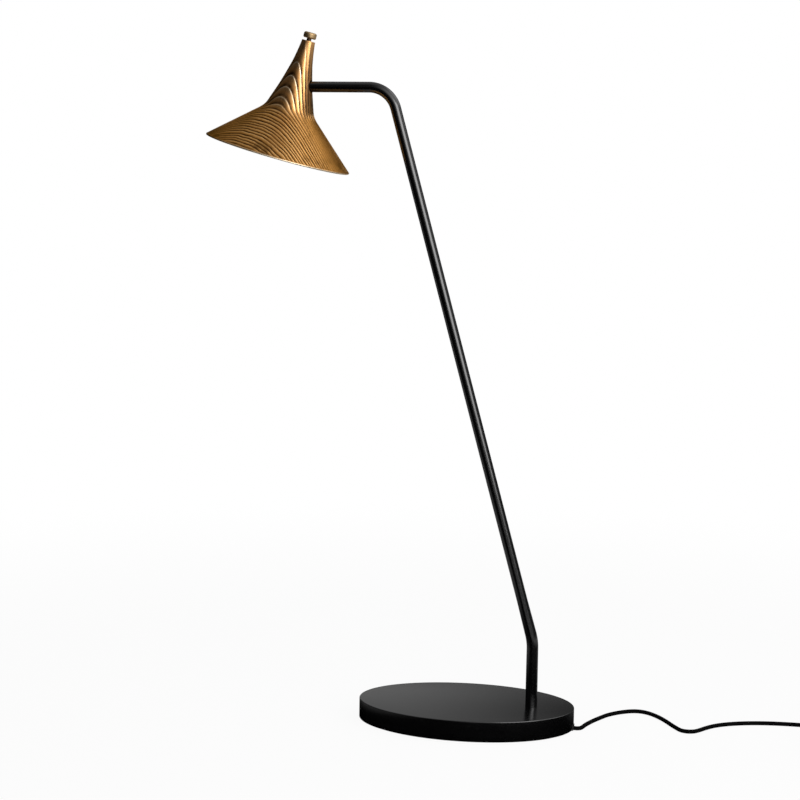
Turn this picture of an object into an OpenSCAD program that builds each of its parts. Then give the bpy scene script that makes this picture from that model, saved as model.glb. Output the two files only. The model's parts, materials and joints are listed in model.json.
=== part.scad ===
// Table lamp: a horn-shaped brass head on a bent black stem and an elliptical base.
// Millimetres, +Z up. The origin is on the table, under the centre of the base.
// The head hangs over -X. The stem and the cord are at the +X end of the base.

/* [Base] */
// Length of the elliptical base
base_length = 158; // [144:1:190]
// Width of the elliptical base
base_width = 108; // [90:1:140]
// Height of the base's top above the table
base_height = 15.5; // [15:0.5:22]
// Bevel of the base's edges
base_bevel = 0.6; // [0.3:0.1:1]
// Thickness of the roof over the wiring bay
roof_thick = 4.4; // [3.4:0.1:4.8]
// Width of the wiring bay in the underside
bay_width = 32; // [31:0.5:40]
// How far the bay's round end lies ahead of the stem
bay_fore = 24; // [23:0.5:30]
// How far the bay's other round end lies behind the stem
bay_aft = 2; // [0:0.5:3]
// Thickness of the plate that closes the bay
cover_thick = 1.5; // [1.2:0.1:1.7]
// Rim of the plate outside the bay
cover_rim = 4; // [3.9:0.1:4.6]
// Thickness of the soft pad under the base
pad_thick = 1.5; // [1.2:0.1:1.7]
// How far the pad stands out below the base
pad_stand = 1; // [0.4:0.1:1.1]
// Bare metal left round the pad
pad_rim = 3; // [2:0.1:4]

/* [Stem] */
// Outer diameter of the stem tube
stem_d = 7.7; // [7.5:0.1:8.2]
// Wall of the stem tube
stem_wall = 1.1; // [0.9:0.1:1.2]
// Diameter of the stem tube where it meets the base
foot_d = 8.7; // [8.4:0.1:9]
// Diameter of the stem tube at the lower kink
kink_d = 8.4; // [8:0.1:8.7]
// Length over which the stem tube draws in above the lower kink
draw_length = 24; // [12:1:60]
// Distance from the base's centre to the stem
stem_offset = 48; // [46:0.5:49]
// Height of the lower kink's corner above the table
kink_height = 63.8; // [50:0.1:90]
// Centreline radius of the lower kink
kink_radius = 40; // [10:1:60]
// Lean of the long part of the stem from upright, in degrees
stem_tilt = 15.8; // [10:0.1:20]
// Height of the arm's axis above the table
arm_height = 458; // [380:1:520]
// Centreline radius of the upper bend
bend_radius = 20.5; // [14:0.5:36]
// Length of the arm from the upper bend's corner to the head's axis
arm_length = 69.8; // [60:0.1:100]
// Length of the foot spigot inside the stem
spigot_reach = 24; // [15:1:32]
// Bore of the foot spigot
spigot_bore = 3.2; // [2:0.1:3.6]
// Size of the stem nut across its flats
stem_nut_flats = 9; // [8.5:0.1:10]
// Thickness of the stem nut
stem_nut_thick = 2.5; // [2:0.1:2.6]
// Diameter of the washer over the stem nut
stem_washer_d = 11; // [9:0.1:11.6]
// Thickness of the washer over the stem nut
stem_washer_thick = 1; // [0.6:0.1:1.1]

/* [Swivel] */
// Turn of the head each way about the arm, in degrees
swivel_stop = 90; // [45:1:100]
// Thickness of the bearing web inside the shade
web_thick = 5; // [4:0.1:5.2]
// Height of the bearing web
web_height = 14; // [13.6:0.1:14.4]
// How far the web's middle lies from the head's axis toward the stem
web_shift = 1; // [0.5:0.1:1.2]
// Diameter of the spindle's journal
journal_d = 5; // [4.6:0.1:5.2]
// Bore of the spindle for the lead
spindle_bore = 2.6; // [1.8:0.1:3]
// Length of the spindle's plug inside the arm
spindle_plug = 12; // [8:0.5:20]
// Thickness of the spindle's collar
collar_thick = 1.4; // [1.1:0.1:1.6]
// Diameter of the stop flange on the spindle's collar
stop_flange_d = 13.2; // [12.8:0.1:13.6]
// Diameter of the stop pin
stop_pin_d = 1.6; // [1.2:0.1:1.7]
// Distance from the arm's axis to the stop pin
stop_pin_radius = 5.5; // [5.4:0.1:5.6]
// Depth of the stop pin in the web
stop_pin_depth = 4; // [2:0.1:4]
// Wall of the swivel bush
bush_wall = 1; // [0.8:0.1:1.2]
// Diameter of the bush's flange
bush_flange_d = 9; // [8.6:0.1:9.2]
// Thickness of the bush's flange
bush_flange_thick = 1; // [0.7:0.1:1.1]
// Diameter of the friction washer
friction_d = 8.4; // [7.6:0.1:9]
// Thickness of the friction washer
friction_thick = 1; // [0.6:0.1:1.2]
// Size of the swivel nut across its flats
swivel_nut_flats = 8; // [7.2:0.1:8.4]
// Thickness of the swivel nut
swivel_nut_thick = 3; // [2.4:0.1:3.2]
// Thread that stands out past the swivel nut
spindle_tail = 0.8; // [0.2:0.1:0.9]

/* [Shade] */
// Diameter of the shade's rim
rim_d = 109; // [98:1:130]
// Height of the conical brim
brim_height = 32; // [31:0.5:35]
// Diameter of the neck where the brim ends
throat_d = 37.2; // [35:0.1:39]
// Rounding between brim and neck
throat_round = 3; // [1:0.5:4]
// Diameter that draws the neck's curve in
waist_d = 14; // [13.8:0.2:17]
// Height of the point that draws the neck's curve in
waist_height = 62.5; // [61:0.5:64]
// Diameter of the neck's tip
tip_d = 9.6; // [9.2:0.1:12]
// Height of the shade from rim to tip
shade_height = 84; // [82:0.5:90]
// Wall of the brim
brim_wall = 1.2; // [0.8:0.1:2]
// Wall of the neck
neck_wall = 2; // [1.6:0.1:2]
// Height inside the neck where its hollow ends
hollow_height = 68; // [67.5:0.1:69]
// Bore through the neck's tip
tip_bore = 5.2; // [5:0.1:5.6]
// Lean of the head's axis toward the stem, in degrees
head_tilt = 15.5; // [5:0.5:18]
// Height of the arm's axis above the rim, along the head's axis
arm_level = 50.2; // [49.5:0.1:50.6]
// Room round the arm in the neck's side hole
arm_hole_gap = 0.45; // [0.3:0.05:0.8]

/* [Light] */
// Height of the carrier's underside above the rim
carrier_level = 26; // [25:0.1:26.4]
// Diameter of the carrier plate
carrier_d = 32; // [30.5:0.1:33]
// Width of the lip round the carrier's top
carrier_lip = 1.2; // [0.8:0.1:1.4]
// Thickness of the carrier plate
carrier_thick = 3; // [2.6:0.1:3.2]
// Thickness of the carrier's lip
carrier_lip_thick = 1.5; // [1:0.1:1.8]
// Diameter of the circle of carrier screws
post_circle = 24.4; // [24:0.1:25]
// Diameter of the posts that hold the carrier
post_d = 4.8; // [4:0.1:5.4]
// Top of the carrier posts above the rim
post_top = 44; // [40:0.5:46]
// Diameter of the carrier screws
carrier_screw_d = 2; // [1.6:0.1:2.4]
// Diameter of the carrier screw heads
carrier_head_d = 3.8; // [3:0.1:4.2]
// Height of the carrier screw heads
carrier_head_thick = 1.2; // [0.8:0.1:1.4]
// Length of the carrier screws under the head
carrier_screw_length = 9; // [6:0.5:11]
// Diameter of the lamp board
board_d = 18; // [16:0.5:19]
// Thickness of the lamp board
board_thick = 1.6; // [1:0.1:1.8]
// Side of the light emitter
chip_side = 8; // [6:0.1:9]
// Thickness of the light emitter
chip_thick = 0.8; // [0.5:0.1:1]
// Diameter of the emitter's glowing disc
phosphor_d = 6; // [4:0.1:6]
// Height of the emitter's glowing disc
phosphor_thick = 0.3; // [0.2:0.1:0.5]
// Diameter of the reflector's small end
reflector_throat = 8.4; // [7:0.1:9]
// Height of the reflector's mouth above the rim
reflector_mouth = 15.5; // [14.5:0.1:16.5]
// Wall of the reflector
reflector_wall = 1.2; // [1:0.1:1.4]
// Ledge that the diffuser rests on
diffuser_ledge = 1.4; // [1:0.1:2]
// Thickness of the diffuser
diffuser_thick = 1.8; // [1.2:0.1:2.4]
// Thickness of the lens ring's face
ring_face = 1.2; // [0.8:0.1:1.6]
// Wall of the lens ring
ring_wall = 0.9; // [0.8:0.1:1.4]
// Depth of the lens ring round the reflector
ring_depth = 5.6; // [4.5:0.1:7]

/* [Dimmer] */
// Diameter of the dimmer can
can_d = 8.4; // [8:0.1:8.8]
// Height of the dimmer can
can_height = 8.4; // [8.2:0.1:8.6]
// Wall of the dimmer can
can_wall = 0.8; // [0.6:0.1:0.9]
// Thickness of the can's floor
can_floor = 1.2; // [0.8:0.1:1.4]
// Length of the threaded sleeve in the tip
sleeve_length = 10; // [7:0.5:11]
// Diameter of the knob's shaft
shaft_d = 3.4; // [3:0.1:3.5]
// Diameter of the shaft's keeper collar
keeper_d = 5.6; // [4.6:0.1:5.8]
// Thickness of the keeper collar
keeper_thick = 1; // [0.6:0.1:1.2]
// Shaft below the keeper collar
shaft_foot = 1.2; // [0.8:0.1:1.4]
// Diameter of the plunger under the shaft
plunger_d = 6.2; // [5.2:0.1:6.2]
// Thickness of the plunger
plunger_thick = 1.1; // [0.8:0.1:1.2]
// Diameter of the return spring's wire
spring_wire = 0.4; // [0.3:0.05:0.5]
// Mean diameter of the return spring
spring_d = 4.4; // [3.6:0.1:4.6]
// Turns of the return spring
spring_turns = 4; // [3:0.5:4.5]
// Travel of the knob when it is pressed
press_travel = 1; // [0.6:0.1:1.2]
// Gap between the neck's tip and the knob
knob_gap = 1.8; // [1.4:0.1:3]
// Diameter of the knob
knob_d = 9.4; // [8:0.1:13]
// Height of the knob
knob_height = 4.4; // [3.8:0.1:8]
// Rounding of the knob's top edge
knob_round = 1.5; // [0.5:0.1:1.8]
// Rounding of the knob's lower edge
knob_under_round = 1.1; // [0.3:0.1:1.3]
// Depth of the shaft in the knob
knob_socket = 2.4; // [1.6:0.1:2.8]

/* [Wiring] */
// Diameter of the lead inside the stem and the head
lead_d = 1.2; // [0.8:0.1:1.4]
// Length of the terminal block across the base
block_length = 18; // [16:0.5:19]
// Width of the terminal block
block_width = 10; // [8:0.5:10.5]
// Height of the terminal block
block_height = 7.5; // [7:0.1:7.6]
// Distance from the stem to the terminal block
block_offset = 26; // [25:0.5:26]
// Diameter of the terminal screws
terminal_screw_d = 2.4; // [1.6:0.1:3]
// Length of the terminal screws
terminal_screw_length = 3; // [2:0.1:3.6]
// Diameter of the cover screws
cover_screw_d = 2; // [1.6:0.1:2.2]
// Diameter of the cover screw heads
cover_head_d = 3.6; // [3:0.1:3.7]
// Depth of the cover screw heads
cover_head_thick = 1.2; // [0.8:0.1:1.2]
// Length of the cover screws
cover_screw_length = 7; // [5:0.5:8]
// Width of the cord clamp along the cord
clamp_width = 4; // [3.4:0.1:5]
// Thickness of the cord clamp
clamp_thick = 1.2; // [0.8:0.1:1.3]
// Distance between the clamp screws
clamp_span = 8; // [7.4:0.1:8.6]
// Diameter of the clamp screws
clamp_screw_d = 2; // [1.6:0.1:2.2]
// Length of the clamp screws
clamp_screw_length = 5; // [4:0.1:6]
// Diameter of the clamp screw heads
clamp_head_d = 3.2; // [2.6:0.1:3.4]
// Diameter of the posts for the clamp screws
clamp_post_d = 4; // [3.6:0.1:4.2]

/* [Cord] */
// Diameter of the cord
cord_d = 3; // [2.6:0.1:3.2]
// Height of the cord's axis where it leaves the base
exit_height = 1.9; // [1.8:0.1:2.2]
// Width of the soft insert in the base's cord notch
grommet_width = 6.4; // [5.6:0.1:8]
// Length of the soft insert
grommet_length = 6; // [5:0.1:6]
// How far the insert stands out of the base
grommet_lip = 0.4; // [0.2:0.1:0.8]
// Thickness of the insert over the cord
grommet_roof = 1; // [0.6:0.1:1.4]
// Turns in the coil of spare cord
coil_turns = 13; // [11:1:13]
// Radius of the coil's outer turn
coil_radius = 23.5; // [23:0.1:26]
// Gap between neighbouring turns
coil_gap = 0.45; // [0.42:0.01:0.6]
// Width of the tie round the coil
tie_width = 6; // [4:0.5:8]
// Thickness of the tie
tie_thick = 0.5; // [0.3:0.1:0.7]

/* [Plug-in driver] */
// Length of the driver's case
driver_length = 58; // [54:1:70]
// Width of the driver's case
driver_width = 34; // [32:1:44]
// Height of the driver's case
driver_height = 24; // [22:0.5:30]
// Rounding of the case's long edges
driver_round = 4; // [2:0.5:6]
// Wall of the driver's case
driver_wall = 2; // [1.6:0.1:2.4]
// Thickness of the plate that carries the pins
plate_thick = 2.5; // [2:0.1:4]
// Depth of the plate's lip inside the case
plate_lip = 3; // [2:0.1:4]
// Diameter of the plug's pins
pin_d = 4; // [3.8:0.1:4.8]
// Length of the plug's pins outside the plate
pin_length = 19; // [17:0.5:20]
// Distance between the plug's pins
pin_spacing = 18.6; // [17:0.1:19.4]
// Diameter of the pins' sleeved roots
pin_root_d = 3.7; // [3.4:0.1:3.7]
// Length of the sleeved roots outside the plate
pin_root_length = 10; // [8:0.5:11]
// Length of the tapered boot outside the case
boot_length = 20; // [18:0.5:22]
// Diameter of the boot at the case
boot_d = 9; // [8:0.1:11]
// Diameter of the boot at its thin end
boot_tip_d = 4.8; // [4.6:0.1:6]
// Diameter of the boot in the case wall
boot_neck_d = 6.8; // [5.6:0.1:7.4]
// Thickness of the boot's flange inside the case
boot_flange = 1.5; // [1:0.1:2]
// Thickness of the driver's board
driver_board_thick = 1.6; // [1.2:0.1:2]
// Length of the driver's board
driver_board_length = 44; // [38:1:46]
// Height of the transformer on the board
core_height = 11; // [8:0.5:12]

/* [Fits] */
// Room round a screw, pin or plug in its hole
fit_gap = 0.05; // [0.02:0.01:0.08]
// Room between faces that turn or slide on each other
run_gap = 0.1; // [0.06:0.01:0.2]
// Room between pieces that never touch
free_gap = 0.3; // [0.2:0.05:0.4]

/* [Hidden] */
$fn = 96;

brass = "#a97c3b";
black = "#161616";
steel = "#9a9c9e";
rubber = "#1d1d1d";
white = "#f1efe8";
green = "#2c5a3a";
copper = "#b0703a";
yellow = "#e8c84a";
silver = "#d9dadb";
graphite = "#3a3a3c";

// How far a cutting body runs past the face it opens
over = 1;

// Heights in the base, from the table up
cover_top = pad_thick + cover_thick;
bay_top = base_height - roof_thick;
bay_r = bay_width / 2;
cover_r = bay_r + cover_rim;
oval_points = 96;

// Stem centreline
stem_x = stem_offset;
bore_r = stem_d / 2 - stem_wall;
kink_start = kink_height - kink_radius * tan(stem_tilt / 2);
kink_end = [stem_x - kink_radius * (1 - cos(stem_tilt)), 0, kink_start + kink_radius * sin(stem_tilt)];
bend_tangent = bend_radius * tan((90 - stem_tilt) / 2);
corner_x = stem_x - (arm_height - kink_height) * tan(stem_tilt);
bend_x = corner_x - bend_tangent;
slope_length = (arm_height - kink_height) / cos(stem_tilt) - bend_tangent
    - kink_radius * tan(stem_tilt / 2);
bend_draw = 0.02;
bend_lap = 0.4;
spigot_r = bore_r - fit_gap;
nut_bottom = bay_top - stem_washer_thick - stem_nut_thick;
spigot_bottom = nut_bottom - free_gap;

// Places along the arm, from the head's axis toward the stem
head_x = corner_x - arm_length;
web_front = web_shift + web_thick / 2;
web_back = web_shift - web_thick / 2;
collar_back = web_front + bush_flange_thick + run_gap;
arm_tip = collar_back + collar_thick;
washer_front = web_back - run_gap;
swivel_nut_front = washer_front - friction_thick;
spindle_end = swivel_nut_front - swivel_nut_thick - spindle_tail;
journal_r = journal_d / 2;
bush_r = journal_r + fit_gap + bush_wall;

// Head profile: radius against height over the rim
rim_r = rim_d / 2;
throat_r = throat_d / 2;
waist_r = waist_d / 2;
tip_r = tip_d / 2;
brim_slope = (rim_r - throat_r) / brim_height;
brim_inset = brim_wall * sqrt(1 + brim_slope * brim_slope);
neck_step = 4;

// Heights in the light, over the rim
board_bottom = carrier_level - board_thick;
chip_bottom = board_bottom - chip_thick;
phosphor_bottom = chip_bottom - phosphor_thick;
reflector_top = phosphor_bottom - run_gap;
reflector_r = carrier_d / 2 + fit_gap + reflector_wall;
lip_bottom = carrier_level + carrier_thick - carrier_lip_thick;
diffuser_bottom = reflector_mouth - diffuser_thick;
diffuser_r = carrier_d / 2;
ring_bottom = diffuser_bottom - ring_face;
ring_r = reflector_r + fit_gap + ring_wall;
post_angles = [0, 120, 240];
lead_angle = 180;
lead_radius = 7.5;

// Heights in the dimmer, over the rim
can_bottom = hollow_height - can_height;
can_r = can_d / 2;
can_roof = hollow_height - can_wall;
keeper_top = can_roof - run_gap;
shaft_bottom = keeper_top - keeper_thick - shaft_foot;
plunger_top = shaft_bottom - run_gap;
plunger_bottom = plunger_top - plunger_thick;
sleeve_top = hollow_height + sleeve_length;
knob_bottom = shade_height + knob_gap;
shaft_r = shaft_d / 2;

// Cord where the base holds it
cord_r = cord_d / 2;
exit_x = base_length / 2 + grommet_lip;
grommet_back = exit_x - grommet_length;
grommet_top = exit_height + cord_r + grommet_roof;
notch_width = grommet_width + 2 * fit_gap;
inner_height = 6.2;
inner_side = 9;
clamp_x = stem_x - 9;
clamp_top = inner_height - cord_r;
clamp_edge = 2;
wire_side = 6.4;
inner_route = [
    [exit_x, 0, exit_height], [grommet_back, 0, exit_height],
    for (q = [[0.22, 0, 2.5], [0.48, 0, 4.05], [0.73, 0.1, 5.6]])
        [mix(grommet_back, stem_x + 13.5, q[0]), q[1], q[2]],
    [stem_x + 13.5, 0.6, inner_height], [stem_x + 10, 2.6, inner_height],
    [stem_x + 7, 5.6, inner_height], [stem_x + 3.8, 8.1, inner_height],
    [stem_x - 0.5, inner_side, inner_height], [stem_x - 12, inner_side, inner_height],
    [stem_x - 17, 8.4, inner_height], [stem_x - 22, 7, inner_height],
    [stem_x - block_offset, wire_side, inner_height]
];

// Cord on the table, from the base to the coil and from the coil to the driver
cord_route = [
    [80.2, 0, 1.9], [82.2, 0.5, 1.8], [84, 2.3, 1.7], [85, 6.2, 1.6], [86.2, 12.6, 1.55],
    [88.2, 19.5, 1.55], [91, 27.5, 1.55], [94.5, 36, 1.55], [98, 43.5, 1.55], [102.8, 50.2, 1.55],
    [108, 55.5, 1.55], [114, 59.5, 1.55], [120, 60.5, 1.55], [126, 58, 1.55], [131.5, 53, 1.55],
    [137, 46, 1.55], [142, 38, 1.55], [147, 29, 1.55], [151.5, 21.5, 1.55], [155, 17, 1.55],
    [159.5, 15.5, 1.55], [164, 17, 1.55], [167.5, 21.5, 1.55], [171.5, 28.5, 1.55], [176.5, 35.5, 1.55],
    [183, 41.5, 1.55], [191, 46.5, 1.55], [200, 50.5, 1.55], [210, 53.5, 1.55], [221, 55.5, 1.55],
    [233, 56.5, 1.55], [245, 56.5, 1.6], [256, 56.5, 1.9], [263, 56.5, 2.2]
];
tail_route = [
    [279, 56, 12.4], [283, 54, 12.1], [286.5, 50.5, 11.9], [288.5, 46, 11.9], [289, 41.5, 12]
];

// Coil of spare cord
coil_centre = [272, 80];
coil_layers = 4;
rings_per_loop = 24;
layer_turns = coil_turns / coil_layers;
coil_pitch = cord_d + coil_gap;
coil_bottom = tie_thick + free_gap + cord_r;
coil_top = coil_bottom + (coil_layers - 1) * coil_pitch;
coil_inner = coil_radius - coil_pitch * layer_turns;
coil_y = coil_centre[1] - coil_radius;

// Driver at the cord's end
driver_place = [289, 19];
driver_axis = driver_height / 2;
board_seat = 5;
core_side = 18;
rail_width = 2;

function unit(v) = v / norm(v);
function mix(a, b, t) = a + (b - a) * t;
function arc(c, r, a0, a1, n) = [for (i = [0:n]) c + r * [cos(mix(a0, a1, i / n)), sin(mix(a0, a1, i / n))]];

// Radius of the neck at a height over the rim, on a curve drawn in at the waist
function neck_share(z) =
    let (a = brim_height - 2 * waist_height + shade_height, b = 2 * (waist_height - brim_height))
    2 * (z - brim_height) / (b + sqrt(b * b + 4 * a * (z - brim_height)));
function neck_radius(z) =
    let (t = neck_share(z))
    throat_r * (1 - t) * (1 - t) + 2 * waist_r * t * (1 - t) + tip_r * t * t;
function brim_radius(z) = rim_r - brim_slope * z;
neck_heights = [for (z = [brim_height + throat_round:neck_step:shade_height - neck_step / 2]) z];
throat_curve = [for (i = [0:4])
    let (t = i / 4, low = brim_height - throat_round, high = brim_height + throat_round)
    mix(mix([brim_radius(low), low], [throat_r, brim_height], t),
        mix([throat_r, brim_height], [neck_radius(high), high], t), t)];
outer_profile = concat(
    [[rim_r, 0]], throat_curve,
    [for (z = neck_heights) if (z > brim_height + throat_round) [neck_radius(z), z]],
    [[tip_r, shade_height]]);
throat_inner = (rim_r - brim_inset - throat_r + neck_wall) / brim_slope;
inner_profile = concat(
    [[rim_r - brim_inset + brim_slope * over, -over], [throat_r - neck_wall, throat_inner]],
    [for (z = neck_heights) if (z < hollow_height - over) [neck_radius(z) - neck_wall, z]],
    [[neck_radius(hollow_height) - neck_wall, hollow_height]]);

// A tube of n sides along points: one ring at each point, turned square to the way
function heading(p, i) = unit(p[min(i + 1, len(p) - 1)] - p[max(i - 1, 0)]);
function ring(p, i, r, n, ref) =
    let (t = heading(p, i), s = unit(cross(t, ref)), u = cross(s, t))
    [for (k = [0:n - 1]) p[i] + r * (cos(360 * k / n) * s + sin(360 * k / n) * u)];
module tube_along(p, r, n, ref) {
    last = (len(p) - 1) * n;
    skin = [for (i = [0:len(p) - 2], k = [0:n - 1])
        let (a = i * n + k, b = i * n + (k + 1) % n)
        each [[a, b, b + n], [a, b + n, a + n]]];
    start_cap = [for (k = [1:n - 2]) [0, k + 1, k]];
    end_cap = [for (k = [1:n - 2]) [last, last + k, last + k + 1]];
    polyhedron([for (i = [0:len(p) - 1]) each ring(p, i, r, n, ref)], concat(skin, start_cap, end_cap));
}

module on_head() {
    translate([head_x, 0, arm_height])
        rotate([0, head_tilt, 0])
            translate([0, 0, -arm_level])
                children();
}
// Along the arm: local z runs from the head's axis toward the stem, local -x points up
module on_arm(at) {
    translate([head_x + at, 0, arm_height])
        rotate([0, 90, 0])
            children();
}
module pipe(r_out, r_in, h) {
    difference() {
        cylinder(r = r_out, h = h);
        translate([0, 0, -over]) cylinder(r = r_in, h = h + 2 * over);
    }
}
module hex_nut(flats, hole_r, h) {
    difference() {
        cylinder(d = flats / cos(30), h = h, $fn = 6);
        translate([0, 0, -over]) cylinder(r = hole_r, h = h + 2 * over);
    }
}
// A pan-head screw: head below z = 0, shank above
module pan_screw(d, length, head_d, head_thick) {
    cylinder(d = d, h = length);
    translate([0, 0, -head_thick]) cylinder(d = head_d, h = head_thick);
}
// A countersunk screw: head from z = 0 up, shank above
module flush_screw(d, length, head_d, head_thick) {
    cylinder(d1 = head_d, d2 = d, h = head_thick);
    cylinder(d = d, h = length);
}
module flush_hole(d, head_d, head_thick, depth) {
    cylinder(d1 = head_d + 2 * fit_gap, d2 = d + 2 * fit_gap, h = head_thick);
    translate([0, 0, -over]) cylinder(d = head_d + 2 * fit_gap, h = over);
    cylinder(d = d + 2 * fit_gap, h = depth);
}
module oval(length, width, z0, z1) {
    translate([0, 0, z0])
        linear_extrude(z1 - z0)
            polygon([for (i = [0:oval_points - 1])
                [length / 2 * cos(360 * i / oval_points), width / 2 * sin(360 * i / oval_points)]]);
}
// The bay's outline: a slot with round ends under the stem
module bay_slot(r, z0, z1) {
    translate([0, 0, z0])
        linear_extrude(z1 - z0) {
            translate([stem_x - bay_fore, 0]) circle(r);
            translate([stem_x + bay_aft, 0]) circle(r);
            translate([stem_x - bay_fore, -r]) square([bay_fore + bay_aft, 2 * r]);
        }
}
module at_cover_screws() {
    for (x = [stem_x - bay_fore, stem_x + bay_aft], side = [-1, 1])
        translate([x, side * (bay_r + cover_rim / 2), pad_thick])
            children();
}
module at_clamp_screws() {
    for (side = [-1, 1])
        translate([clamp_x, inner_side + side * clamp_span / 2, clamp_top - clamp_thick])
            children();
}
module cord_notch(x0, x1, z0, z1) {
    translate([x0, -notch_width / 2, z0]) cube([x1 - x0, notch_width, z1 - z0]);
}

// Base
module base_blank() {
    edge = base_bevel;
    hull() {
        oval(base_length - 2 * edge, base_width - 2 * edge, pad_stand, base_height);
        oval(base_length, base_width, pad_stand + edge, base_height - edge);
    }
}
module base_body() {
    rise = inner_height + cord_r + free_gap;
    color(black) {
        difference() {
            base_blank();
            oval(base_length - 2 * pad_rim, base_width - 2 * pad_rim, 0, pad_thick);
            bay_slot(cover_r + fit_gap, 0, cover_top);
            bay_slot(bay_r, 0, bay_top);
            translate([stem_x, 0, 0]) cylinder(r = spigot_r + fit_gap, h = base_height + over);
            at_cover_screws() cylinder(d = cover_screw_d + 2 * fit_gap, h = cover_screw_length + free_gap);
            cord_notch(stem_x + bay_aft, grommet_back, 0, rise);
            cord_notch(stem_x + bay_aft, exit_x + over, 0, grommet_top + fit_gap);
        }
        difference() {
            at_clamp_screws() translate([0, 0, clamp_thick + free_gap])
                cylinder(d = clamp_post_d, h = bay_top - clamp_top - free_gap);
            at_clamp_screws() cylinder(d = clamp_screw_d + 2 * fit_gap, h = clamp_screw_length + free_gap);
        }
        translate([clamp_x - clamp_width / 2, inner_side - cord_r / 2, inner_height + cord_r])
            cube([clamp_width, cord_r, bay_top - inner_height - cord_r]);
    }
}
module base_pad() {
    inset = 2 * (pad_rim + fit_gap);
    color(rubber)
        difference() {
            oval(base_length - inset, base_width - inset, 0, pad_thick);
            cord_notch(stem_x + bay_aft + bay_r, exit_x, -over, pad_thick + over);
        }
}
module base_cover() {
    color(steel)
        difference() {
            bay_slot(cover_r, pad_thick, cover_top);
            at_cover_screws() flush_hole(cover_screw_d, cover_head_d, cover_head_thick, cover_thick + over);
            cord_notch(stem_x + bay_aft + bay_r - over, exit_x, 0, cover_top + over);
        }
}
module cover_screws() {
    color(steel)
        at_cover_screws() flush_screw(cover_screw_d, cover_screw_length, cover_head_d, cover_head_thick);
}

// Stem
// A bend from one heading to another, in degrees from upright, lapping into the straights
module bent_pipe(radius, from, to, outer_d) {
    lap = bend_lap / radius * 180 / PI;
    rotate([90, 0, 0])
        rotate([0, 0, from - lap])
            rotate_extrude(angle = to - from + 2 * lap)
                translate([radius, 0])
                    difference() {
                        circle(outer_d / 2 - bend_draw);
                        circle(bore_r + bend_draw);
                    }
}
module drawn_pipe(from_d, to_d, h) {
    difference() {
        cylinder(d1 = from_d, d2 = to_d, h = h);
        translate([0, 0, -over]) cylinder(r = bore_r, h = h + 2 * over);
    }
}
module stem_tube() {
    color(black) {
        translate([stem_x, 0, base_height]) drawn_pipe(foot_d, kink_d, kink_start - base_height);
        translate([stem_x - kink_radius, 0, kink_start]) bent_pipe(kink_radius, 0, stem_tilt, kink_d);
        translate(kink_end)
            rotate([0, -stem_tilt, 0]) {
                drawn_pipe(kink_d, stem_d, draw_length);
                translate([0, 0, draw_length]) pipe(stem_d / 2, bore_r, slope_length - draw_length);
            }
        translate([bend_x, 0, arm_height - bend_radius]) bent_pipe(bend_radius, stem_tilt, 90, stem_d);
        translate([bend_x, 0, arm_height])
            rotate([0, -90, 0])
                pipe(stem_d / 2, bore_r, bend_x - head_x - arm_tip);
    }
}
module foot_spigot() {
    color(steel)
        translate([stem_x, 0, spigot_bottom])
            pipe(spigot_r, spigot_bore / 2, base_height + spigot_reach - spigot_bottom);
}
module stem_washer() {
    color(steel)
        translate([stem_x, 0, bay_top - stem_washer_thick])
            pipe(stem_washer_d / 2, spigot_r + fit_gap, stem_washer_thick);
}
module stem_nut() {
    color(steel)
        translate([stem_x, 0, nut_bottom])
            hex_nut(stem_nut_flats, spigot_r + fit_gap, stem_nut_thick);
}

// Wiring
module stem_lead() {
    tail = [
        [stem_x - block_offset, -wire_side, inner_height], [stem_x - 23, -6.3, inner_height],
        [stem_x - 18, -5.6, 6], [stem_x - 12, -3.8, 5.2], [stem_x - 6, -1.7, 4.6],
        [stem_x - 2.6, -0.6, 4.8], [stem_x - 0.8, -0.1, 5.7], [stem_x, 0, 7.4]
    ];
    kink = [for (q = arc([stem_x - kink_radius, kink_start], kink_radius, 0, stem_tilt, 3)) [q[0], 0, q[1]]];
    bend = [for (q = arc([bend_x, arm_height - bend_radius], bend_radius, stem_tilt, 90, 8)) [q[0], 0, q[1]]];
    points = concat(tail, kink, bend, [[head_x + spindle_end, 0, arm_height]]);
    color(copper) tube_along(points, lead_d / 2, 8, [0, 1, 0]);
}
module terminal_block() {
    x0 = stem_x - block_offset - block_width;
    color(white)
        difference() {
            translate([x0, -block_length / 2, bay_top - block_height])
                cube([block_width, block_length, block_height]);
            at_terminals() cylinder(d = terminal_screw_d + 2 * fit_gap, h = terminal_screw_length + free_gap);
        }
}
module at_terminals() {
    for (along = [0.3, 0.7], side = [-1, 1])
        translate([stem_x - block_offset - block_width * along, side * wire_side, bay_top - block_height])
            children();
}
module terminal_screws() {
    color(brass)
        at_terminals() cylinder(d = terminal_screw_d, h = terminal_screw_length);
}
module cord_clamp() {
    length = clamp_span + 2 * clamp_edge;
    color(steel)
        difference() {
            translate([clamp_x - clamp_width / 2, inner_side - length / 2, clamp_top - clamp_thick])
                cube([clamp_width, length, clamp_thick]);
            at_clamp_screws() flush_hole(clamp_screw_d, clamp_head_d, clamp_thick / 2, clamp_thick + over);
        }
}
module clamp_screws() {
    color(steel)
        at_clamp_screws()
            flush_screw(clamp_screw_d, clamp_screw_length, clamp_head_d, clamp_thick / 2);
}
module cord_grommet() {
    bottom = exit_height - cord_r + free_gap;
    hole_r = cord_r + fit_gap;
    color(rubber)
        difference() {
            translate([grommet_back, -grommet_width / 2, bottom])
                cube([grommet_length, grommet_width, grommet_top - bottom]);
            translate([grommet_back - over, 0, exit_height])
                rotate([0, 90, 0])
                    cylinder(r = hole_r, h = grommet_length + 2 * over);
            translate([grommet_back - over, -hole_r, bottom - over])
                cube([grommet_length + 2 * over, 2 * hole_r, exit_height - bottom + over]);
        }
}
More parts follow.
